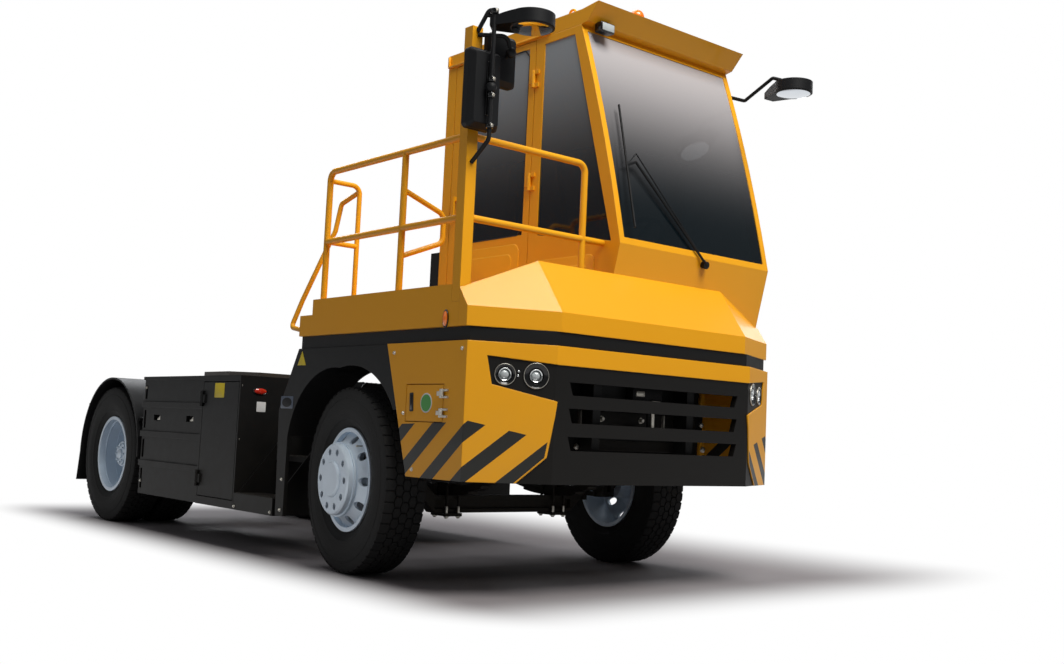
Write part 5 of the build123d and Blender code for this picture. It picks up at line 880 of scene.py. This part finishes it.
# %% Panel screws
PANEL_Y, BOX_Y, STEP_Y = 1.25, 1.22, 1.235
LEG_REAR_X = -0.8
SCREWS_AT = (
    # distance from the middle, x, z
    (PANEL_Y, 0.51, 1.308), (PANEL_Y, 0.632, 0.968), (PANEL_Y, 0.742, 0.66), (PANEL_Y, 1.15, 1.318),
    (BOX_Y, -3.06, 1.115), (BOX_Y, -3.06, 0.748), (BOX_Y, -3.06, 0.376), (BOX_Y, -1.409, 1.128),
    (BOX_Y, -1.409, 0.756), (BOX_Y, -1.409, 0.384), (STEP_Y, -1.385, 0.298), (STEP_Y, -0.87, 0.298),
    (STEP_Y, -0.74, 0.323), (STEP_Y, -0.74, 0.52), (1.13, 1.168, 0.64),
)
screws = [facing(at(x, side * y, z), (0, side, 0)) for side in SIDES for y, x, z in SCREWS_AT
          if side < 0 or x > LEG_REAR_X]
piece("panel_screws", (zinc,), "silver", (0, hex_bolt(0.0085, 0.009), *screws))

# %% [markdown]
# The spring's U-bolts end in long threads with nuts below the axle. Their zinc is the brightest thing
# under the front, so each leg gets a sleeve of thread and a nut.

# %% U-bolt threads
THREAD = [(0, 0.326), (0.0098, 0.326), (0.0104, 0.33), (0.0104, 0.398), (0.0098, 0.402), (0, 0.402)]
NUT = [(0, 0), (0.017, 0), (0.017, 0.014), (0.015, 0.017), (0, 0.017)]
NUT_Z = 0.334
SPRING_Y, LEG_Y, LEG_X = 0.45, 0.047, 0.062
legs = [(x, side * SPRING_Y + step) for x in (-LEG_X, LEG_X) for side in SIDES for step in (-LEG_Y, LEG_Y)]
piece("ubolt_threads", (zinc,), "dark_steel", (0, lathe(THREAD, 16), *(spot(x, y, 0) for x, y in legs)),
      (0, lathe(NUT, 6), *(spot(x, y, NUT_Z) for x, y in legs)))

# %% [markdown]
# A mirror's glass sits in a shallow frame on the rear face of its head. The two big heads get a flat
# glass with round corners, the two look-down heads a domed one that faces the ground. Split collars
# clamp the heads to their tube.

# %% Mirror glasses
BACKWARD = Matrix(((0, 0, -1, 0), (1, 0, 0, 0), (0, 1, 0, 0), (0, 0, 0, 1)))
FLAT_HEADS = ((1.1285, -1.21, 2.72, 0.194, 0.416), (1.0635, -1.04, 2.935, 0.178, 0.268))
DOWN_HEADS = [facing(at(1.35, -1.04, 3.0632), DOWN), facing(at(1.349, 1.24, 3.2162), DOWN)]
GLASS_INSET = 0.014
DOMED_FRAME = [(0, 0), (0.119, 0), (0.119, 0.004), (0.113, 0.006), (0, 0.006)]
DOMED_GLASS = [(0, 0.005), (0.112, 0.005), (0.104, 0.009), (0.07, 0.0135), (0, 0.0165)]
parts = [(0, lathe(DOMED_FRAME, 56), *DOWN_HEADS), (1, lathe(DOMED_GLASS, 56), *DOWN_HEADS)]
for x, y, z, wide, tall in FLAT_HEADS:
    place = spot(x, y, z) @ BACKWARD
    parts += [(0, plate(wide, tall, 0.026, 0.003, 0.0012), place),
              (1, plate(wide - GLASS_INSET, tall - GLASS_INSET, 0.02, 0.0045, 0.001), place)]
piece("mirror_glasses", (rubber_trim, mirror_glass), "glass", *parts)

TUBE_X, TUBE_Y, TUBE_OUT = 1.235, -1.208, 0.021
CLAMPS_Z = (2.676, 2.764, 2.51, 3.14)
COLLAR = [(0.0118, -0.013), (0.02, -0.013), (0.0215, -0.01), (0.0215, 0.01), (0.02, 0.013), (0.0118, 0.013)]
piece("mirror_clamps", (gloss_black, zinc), "black_plastic",
      (0, lathe(COLLAR, closed=True), *(spot(TUBE_X, TUBE_Y, z) for z in CLAMPS_Z)),
      (1, hex_bolt(0.007, 0.008), *(facing(at(TUBE_X + TUBE_OUT, TUBE_Y, z), FORWARD) for z in CLAMPS_Z)),
      (0, brick((-0.012, -0.15, 0), (0.012, 0.15, 0.01), 0.0045, 3), spot(1.2035, -1.21, 2.72) @ RISE))

# %% [markdown]
# Labels are thin plates with round corners, all left blank. Paint alone could show them, but a plate
# catches light at its rim. The red oval on the cabinet's front face is a reflector, and so are the
# amber ones along the sides: a domed lens in a dark frame, turned round and then stretched.

# %% Labels, reflectors and marker lamps
LABEL = (0.0016, 0.0006)
CABINET_FRONT_X = -1.3998
PATCH_OVAL = [(0, 0.001), (0.062, 0.001), (0.062, 0.0024), (0, 0.0026)]
TRIANGLE = [(-0.052, -0.036), (0.052, -0.036), (0, 0.054)]
patch = on_side(-0.731, 1.016, -STEP_Y)
piece("blank_labels", (yellow_label, white_label, grey_label, plastic), "black_plastic",
      (1, plate(0.07, 0.07, 0.006, *LABEL), facing(at(CABINET_FRONT_X, -1.07, 0.986), FORWARD)),
      (2, plate(0.16, 0.08, 0.01, *LABEL), patch),
      (3, lathe(PATCH_OVAL, 40), patch @ Matrix.Diagonal((1.0, 0.5, 1.0, 1.0))),
      (0, slab(TRIANGLE, *LABEL), on_side(-0.57, 1.29, -STEP_Y)))
piece("cabinet_label", (yellow_label,), "black_plastic",
      (0, plate(0.15, 0.104, 0.008, *LABEL), on_side(-1.722, 1.093, -STEP_Y)), body="cabinet_door")

OVAL_FRAME = [(0, 0), (1.0, 0), (1.0, 0.005), (0.94, 0.008), (0.84, 0.006), (0, 0.006)]
OVAL_LENS = [(0, 0.004), (0.84, 0.004), (0.8, 0.009), (0.6, 0.013), (0.3, 0.0155), (0, 0.016)]


def oval_parts(place, half_length, half_height, paint):
    """A domed oval lens in a dark frame, about the Z axis of a matrix."""
    stretch = place @ Matrix.Diagonal((half_length, half_height, 1.0, 1.0))
    return [(0, lathe(OVAL_FRAME, 40), stretch), (paint, lathe(OVAL_LENS, 40), stretch)]


# The red and amber lenses carry the faint painted glow of their materials, though reflectors are no lamps.
parts = oval_parts(facing(at(CABINET_FRONT_X, -1.085, 1.095), FORWARD), 0.056, 0.024, 1)
for side, turn in ((-1, math.pi / 2), (1, 0)):
    parts += oval_parts(facing(at(0.99, side * PANEL_Y, 1.482), (0, side, 0)) @ spin(turn), 0.05, 0.024, 2)
piece("side_lenses", (gloss_black, red_lens, amber), "amber", *parts)

TAIL_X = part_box("tail_lamps")[0].x
TAIL_LENSES = ((0.84, 0.97, 1), (0.975, 1.055, 2), (1.06, 1.12, 3))
parts = []
for side in SIDES:
    for inner, outer, paint in TAIL_LENSES:
        low, high = sorted((side * inner, side * outer))
        parts.append((paint, brick((TAIL_X + 0.0005, low, 0.796), (TAIL_X + 0.008, high, 0.868), 0.003),
                      Matrix()))
piece("tail_lenses", (gloss_black, red_lens, amber, lens_glass), "lamp", *parts)

# %% [markdown]
# The steps are grip treads: rows of small raised studs, with a toothed outer edge that bites into a
# boot. The deck is checker plate: low lozenges, turned one way and the other in turn, pressed up out of
# the sheet. Both are one small shape repeated, with very few faces each.

# %% Grip studs and deck plate
SINK = 0.0003
STUD = [(0, 0), (0.0085, 0), (0.006, 0.004), (0, 0.004)]
STUD_ROWS, STUD_ROW_STEP, STUD_FIRST = 5, 0.038, 0.03
STUD_GAPS, TOOTH_GAPS = 15, 26
TREADS = ((0.39, 0.0), (0.655, 0.3), (0.92, 0.48), (1.185, 0.66))
TREAD_START, TREAD_LENGTH = -1.365, 0.487
parts = []
for top, inset in TREADS:
    edge_y = inset - STEP_Y
    studs = [spot(TREAD_START + TREAD_LENGTH * i / STUD_GAPS, edge_y + STUD_FIRST + STUD_ROW_STEP * row,
                  top - SINK) for i in range(STUD_GAPS + 1) for row in range(STUD_ROWS)]
    teeth = [spot(TREAD_START + TREAD_LENGTH * i / TOOTH_GAPS, edge_y, top) for i in range(TOOTH_GAPS + 1)]
    parts += [(0, lathe(STUD, 8), *studs),
              (0, brick((-0.006, 0.0005, -0.004), (0.006, 0.007, 0.0055), 0.0015, 1), *teeth)]
piece("step_grip", (steel,), "dark_steel", *parts)

DECK_START_X, DECK_START_Y, DECK_Z = -0.56, -1.195, 1.571
DECK_STEP = 0.036
DECK_ROWS, DECK_COLUMNS = 46, 28
LOZENGE = [(-0.017, 0), (0, -0.0055), (0.017, 0), (0, 0.0055)]
LOZENGE_THICK = 0.0022
lozenges = [spot(DECK_START_X + DECK_STEP * i, DECK_START_Y + DECK_STEP * j, DECK_Z - SINK)
            @ spin(math.radians(45 if (i + j) % 2 else -45))
            for i in range(DECK_ROWS) for j in range(DECK_COLUMNS)]
piece("deck_checker", (yellow,), "yellow_paint", (0, slab(LOZENGE, LOZENGE_THICK), *lozenges))

# %% [markdown]
# The battery boxes are opened by two hand recesses with a small spring tongue in each. A tongue is a
# thin bevelled triangle of bare metal, so three points drawn up are enough.

# %% Battery box tongues
TONGUE = [(-0.03, -0.018), (0.034, -0.018), (0.034, 0.018)]
TONGUES_X, TONGUE_Y, TONGUE_Z = (-2.82, -2.22), 1.206, 0.88
piece("box_tongues", (zinc,), "silver",
      (0, slab(TONGUE, 0.003, 0.001), *(on_side(x, TONGUE_Z, -TONGUE_Y) for x in TONGUES_X),
       *(facing(at(x, TONGUE_Y, TONGUE_Z), (0, 1, 0)) for x in TONGUES_X)))

# %% [markdown]
# Round the door's pane runs a black rubber strip that holds the glass. It is a bent rod that follows
# the window's edge, with short turns at the corners. Inside the cab a round mirror hangs on an arm
# from the windscreen.

# %% Door rubber and cab mirror
RUBBER_R = 0.0065
CORNER_CUT = 0.05
low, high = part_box("door_window")
corners = [Vector((x, low.y - 0.001, z)) for x, z in ((low.x, low.z), (high.x, low.z), (high.x, high.z),
                                                      (low.x, high.z))]
door_ring = [corner.lerp(other, CORNER_CUT / (other - corner).length) for i, corner in enumerate(corners)
             for other in (corners[i - 1], corners[(i + 1) % 4])]
wire("door_window_rubber", door_ring, RUBBER_R, rubber_trim, body="cab_door", closed=True)

MIRROR_AT = facing(at(0.9, 0.73, 2.82), BACK)
MIRROR_CASE = [(0, -0.012), (0.06, -0.01), (0.083, -0.004), (0.086, 0.004), (0.08, 0.008), (0, 0.008)]
MIRROR_GLASS = [(0, 0.007), (0.078, 0.007), (0.076, 0.01), (0, 0.011)]
MIRROR_ARM = ((0.902, 0.732, 2.88), (0.9, 0.74, 2.935), (0.905, 0.746, 2.97), (0.932, 0.75, 2.985))
piece("cab_mirror", (gloss_black, mirror_glass), "black_plastic", (0, lathe(MIRROR_CASE, 40), MIRROR_AT),
      (1, lathe(MIRROR_GLASS, 40), MIRROR_AT))
wire("cab_mirror_arm", [at(*point) for point in MIRROR_ARM], 0.008, gloss_black)

# %% [markdown]
# The fifth wheel is a thick cast plate, black with grease. A release handle comes out from under its
# right side, a bent rod that ends in a hook; a bevelled curve is the quickest way to it. Four sunk
# bolts show in the plate's face.

# %% Fifth wheel handle
HANDLE = ((0.06, -0.06, 0), (0.06, -0.38, 0), (0.09, -0.45, -0.004), (0.16, -0.462, -0.006),
          (0.175, -0.43, -0.006))
HANDLE_R = 0.009
HANDLE_UNDER = 0.062
PLATE_BOLT = [(0, 0), (0.02, 0), (0.018, 0.0022), (0.01, 0.0026), (0.009, 0.001), (0, 0.001)]
PLATE_BOLTS_AT = ((0.23, 0.3), (0.23, -0.3), (-0.15, 0.33), (-0.15, -0.33))
PLATE_BOLT_SINK = 0.0012
plate_x = middle("fifth_wheel").x
plate_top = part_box("fifth_wheel")[1].z
wire("release_handle", [(plate_x + x, y, plate_top - HANDLE_UNDER + z) for x, y, z in HANDLE], HANDLE_R,
     zinc, body="fifth_wheel")
bolts = [shift(plate_x + x, y, plate_top - PLATE_BOLT_SINK) for x, y in PLATE_BOLTS_AT]
piece("fifth_wheel_bolts", (greased,), "dark_steel", (0, lathe(PLATE_BOLT), *bolts), body="fifth_wheel")

# %% [markdown]
# The door's lower panel is stiffened by a pressed frame with round corners, and so is the cab's side in
# front of it. Thin plates laid on the sheet catch the same lines of light as a real pressing, and the
# CAD mesh stays as it is. A rain gutter runs along the roof above them.

# %% Door pressing and roof gutter
DOOR_Y = -0.181
LOW_STEP, HIGH_STEP = (0.005, 0.004, 3), (0.0085, 0.004, 3)
PRESSINGS = (
    # name, body, place along X and Z, outer frame and inner frame as width, height and radius
    ("door_pressing", "cab_door", (-0.07, 1.9), (0.7, 0.42, 0.06), (0.56, 0.29, 0.045)),
    ("cab_side_pressing", "chassis", (0.72, 1.83), (0.56, 0.3, 0.05), (0.43, 0.18, 0.035)),
)
for name, body, (x, z), outer, inner in PRESSINGS:
    place = on_side(x, z, DOOR_Y + 0.0005)
    piece(name, (yellow,), "yellow_paint", (0, plate(*outer, *LOW_STEP), place),
          (0, plate(*inner, *HIGH_STEP), place), body=body)
GUTTERS = ((-0.58, 0.5, 3.452, 3.466), (-0.596, -0.58, 3.452, 3.535))
parts = [(0, brick(at(rear, DOOR_Y - 0.016, low), at(front, DOOR_Y + 0.002, high), 0.004), Matrix())
         for rear, front, low, high in GUTTERS]
piece("roof_gutter", (yellow,), "yellow_paint", *parts)

# %% [markdown]
# Under the visor hangs a small work lamp, made of three rounded boxes. The beacon stands on a black
# rubber foot, and thin ribs run round its dome; these are turned profiles, one of them used four times.

# %% Work lamp and beacon foot
LAMP_AT = spot(0.87, -0.05, 3.435)
piece("visor_lamp", (gloss_black, lens_glass), "lamp",
      (0, brick((-0.035, -0.06, -0.032), (0.03, 0.06, 0.032), 0.01, 3), LAMP_AT),
      (1, brick((0.029, -0.05, -0.024), (0.034, 0.05, 0.024), 0.004), LAMP_AT),
      (0, brick((-0.012, -0.012, 0.03), (0.012, 0.012, 0.04), 0.003), LAMP_AT))
FOOT = [(0.0485, 3.545), (0.064, 3.545), (0.064, 3.563), (0.06, 3.572), (0.053, 3.575), (0.0485, 3.575)]
RIB = [(0.0478, -0.003), (0.0495, -0.0015), (0.0495, 0.0015), (0.0478, 0.003)]
RIBS_Z = (3.6, 3.625, 3.65, 3.675)
BEACON_AT = (0.695, 0.4)
piece("beacon_foot", (rubber_trim, amber), "black_plastic",
      (0, lathe(FOOT, 48, closed=True), spot(*BEACON_AT, 0)),
      (1, lathe(RIB, 48, closed=True), *(spot(*BEACON_AT, z) for z in RIBS_Z)))

# %% [markdown]
# The seat shows only faintly through the glass, but it is a padded thing and is made as one. A cushion
# starts as a box cut into a fine grid. Every point is pushed out by how near it is to the middle of its
# face, so the faces crown and the sides pull in between the corners. Two sewn channels press a groove
# into the top. Below stand a foot, a bellows and a plate; two rods carry the head rest.

# %% Seat
PULL_IN = 0.035
ROUND_OFF = 0.1
CHANNEL_WIDTH = 0.045
CHANNEL_DEPTH = 0.01


def pad(size, crown, channels):
    """A crowned cushion about the origin, with sewn channels across it at shares of its length."""
    bm = bmesh.new()
    bmesh.ops.create_cube(bm, size=2.0)
    bmesh.ops.subdivide_edges(bm, edges=bm.edges[:], cuts=14, use_grid_fill=True)
    half = Vector(size) / 2
    for vert in bm.verts:
        x, y, z = vert.co
        swell = (1 - x ** 4) * (1 - y ** 4)
        pull = 1 - PULL_IN * (1 - z * z) * (1 + 0.6 * (abs(x) < 0.99 and abs(y) < 0.99))
        round_off = 1 - ROUND_OFF * max(0.0, (abs(x) ** 8 + abs(y) ** 8 + abs(z) ** 8 - 1) / 2)
        height = half.z * z * round_off + math.copysign(crown * swell, z) * abs(z) ** 3
        for share in channels:
            dip = math.exp(-((x - share) / CHANNEL_WIDTH) ** 2) * (abs(y) < 0.93)
            height -= math.copysign(CHANNEL_DEPTH * dip, z) * (z > 0.9)
        vert.co = (half.x * x * round_off * pull, half.y * y * round_off * pull, height)
    bmesh.ops.smooth_vert(bm, verts=bm.verts[:], factor=0.5, use_axis_x=True, use_axis_y=True,
                          use_axis_z=True)
    return bm


SEAT_X, SEAT_Y = -0.13, 0.52
LEAN = math.radians(-10)
back_turn = spot(SEAT_X - 0.195, SEAT_Y, 2.015) @ Matrix.Rotation(LEAN, 4, "Y")
across = Matrix.Rotation(math.pi / 2, 4, "Y")
CUSHIONS = (
    # name, size, place, crown, sewn channels
    ("seat_cushion", (0.47, 0.48, 0.092), spot(SEAT_X + 0.01, SEAT_Y, 2.01), 0.01, (-0.35, 0.35)),
    ("seat_back", (0.56, 0.47, 0.09), back_turn @ shift(0, 0, 0.33) @ across, 0.01, (-0.3, 0.25)),
    ("head_rest", (0.16, 0.25, 0.076), back_turn @ shift(0, 0, 0.74) @ across, 0.006, ()),
)
for name, size, place, crown, channels in CUSHIONS:
    made = piece(name, (weave,), "seat_fabric", (0, pad(size, crown, channels), place), sharp=80)
    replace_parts(made, "seat")
HEAD_ROD = [(0, 0.59), (0.007, 0.59), (0.007, 0.68), (0, 0.68)]
FOLD_LOW, FOLD_STEP, FOLD_HIGH = 1.706, 0.034, 0.03
folds = [(0.14 - 0.006 * (i % 2), FOLD_LOW + FOLD_STEP * i, FOLD_LOW + FOLD_STEP * i + FOLD_HIGH, 0.01)
         for i in range(7)]
parts = [(0, brick((-half, -half, low), (half, half, high), edge), spot(SEAT_X, SEAT_Y, 0))
         for half, low, high, edge in ((0.15, 1.611, 1.7, 0.012), *folds, (0.15, 1.943, 1.962, 0.006))]
parts.append((0, lathe(HEAD_ROD, 12), *(back_turn @ shift(0, y, 0) for y in (-0.055, 0.055))))
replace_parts(piece("seat_frame", (trim,), "black_plastic", *parts), "seat")

BELT_LEAN = Matrix.Rotation(math.radians(14), 4, "X")
piece("seat_belt", (belt_red,), "seat_fabric",
      (0, brick((-0.024, -0.0012, -0.48), (0.024, 0.0012, 0.48), 0.0004, 1),
       spot(-0.42, 0.83, 2.52) @ BELT_LEAN))

# %% [markdown]
# The floor runs out into white. Near the machine it is a mid-grey matt surface: it takes a real shadow,
# and its grey is painted shade, so that the floor looks shadowed even where the lamps reach it. Further
# out it fades into plain white that only the camera and reflections see. The fade starts at its own
# distance on each of the four sides, and so gives the painted shade its shape.

# %% Floor, world and lamps
FLOOR_HALF = 60.0
# Where the painted shade ends on each side, as the start and width of its fade to white.
PAINTED_SHADE_FADE_FRONT = (1.2, 0.95)
PAINTED_SHADE_FADE_BACK = (4.5, 1.5)
PAINTED_SHADE_FADE_RIGHT = (1.15, 0.7)
PAINTED_SHADE_FADE_LEFT = (1.6, 2.3)
WHITE = (1.0, 1.0, 1.0, 1.0)
SKY = (0.96, 0.97, 1.0, 1.0)
SKY_STRENGTH = 0.17
floor_mesh = bpy.data.meshes.new("floor")
bm = bmesh.new()
bmesh.ops.create_grid(bm, x_segments=1, y_segments=1, size=FLOOR_HALF)
bm.to_mesh(floor_mesh)
bm.free()
floor = bpy.data.objects.new("floor", floor_mesh)
scene.collection.objects.link(floor)

stage = Graph("studio_floor_painted_shade")
x, y, z = stage.axes()
ahead = x - AXLE_X
over = [((value - start) / width).most(0.0) for value, (start, width) in
        ((ahead, PAINTED_SHADE_FADE_FRONT), (0.0 - ahead, PAINTED_SHADE_FADE_BACK), (0.0 - y, PAINTED_SHADE_FADE_RIGHT), (y, PAINTED_SHADE_FADE_LEFT))]
squares = over[0] * over[0] + over[1] * over[1] + over[2] * over[2] + over[3] * over[3]
painted_shade_fade = squares.root().between(0.0, 1.0)
# A mid grey: painted shade that darkens the near floor, its lit parts too, until the fade turns it white.
stage.set(Base_Color=stage.mix(shade(122, 117, 119), shade(132, 127, 129), stage.noise(2.0)), Roughness=0.7)
white = stage.node("Emission", None, {"Color": WHITE, "Strength": 1.0})
seen = stage.rays("Camera", "Glossy", "Transmission")
blend = stage.node("MixShader", None, {0: painted_shade_fade * seen, 1: stage.shader.outputs[0], 2: white})
stage.give(stage.output.inputs[0], blend)
floor_mesh.materials.append(stage.material)

scene.world = bpy.data.worlds.new("studio")
sky = Tree(scene.world)
light = sky.node("Background", None, {"Color": SKY, "Strength": SKY_STRENGTH})
clear = sky.node("Background", None, {"Color": WHITE, "Strength": 1.0})
mixed = sky.node("MixShader", None, {0: sky.rays("Camera", "Transmission"), 1: light, 2: clear})
sky.node("OutputWorld", None, {0: mixed})

AIM = Vector((0.5, 0, 1.2))
LAMPS = (
    # name, place, width and height, power, colour
    ("key", (7.6, -0.6, 9.6), (5.0, 5.0), 1150.0, (1.0, 0.98, 0.94)),
    ("top", (-1.0, 0.0, 9.0), (7.0, 4.0), 260.0, (1.0, 1.0, 1.0)),
    ("kerb_fill", (-1.0, -9.0, 5.0), (6.0, 3.0), 45.0, (0.94, 0.96, 1.0)),
    ("left_fill", (0.0, 9.0, 5.0), (6.0, 3.0), 160.0, (0.96, 0.98, 1.0)),
    ("back", (-8.0, 2.0, 6.0), (4.0, 3.0), 260.0, (0.95, 0.97, 1.0)),
)
for name, place, size, power, colour in LAMPS:
    lamp_data = bpy.data.lights.new(name, "AREA")
    lamp_data.shape = "RECTANGLE"
    lamp_data.size, lamp_data.size_y = size
    lamp_data.energy = power
    lamp_data.color = colour
    lamp = bpy.data.objects.new(name, lamp_data)
    scene.collection.objects.link(lamp)
    lamp.location = place
    lamp.rotation_mode = "QUATERNION"
    lamp.rotation_quaternion = (AIM - Vector(place)).to_track_quat("-Z", "Y")
scene.view_settings.view_transform = "Standard"
print(len(LAMPS), "lamps aimed at", tuple(AIM))
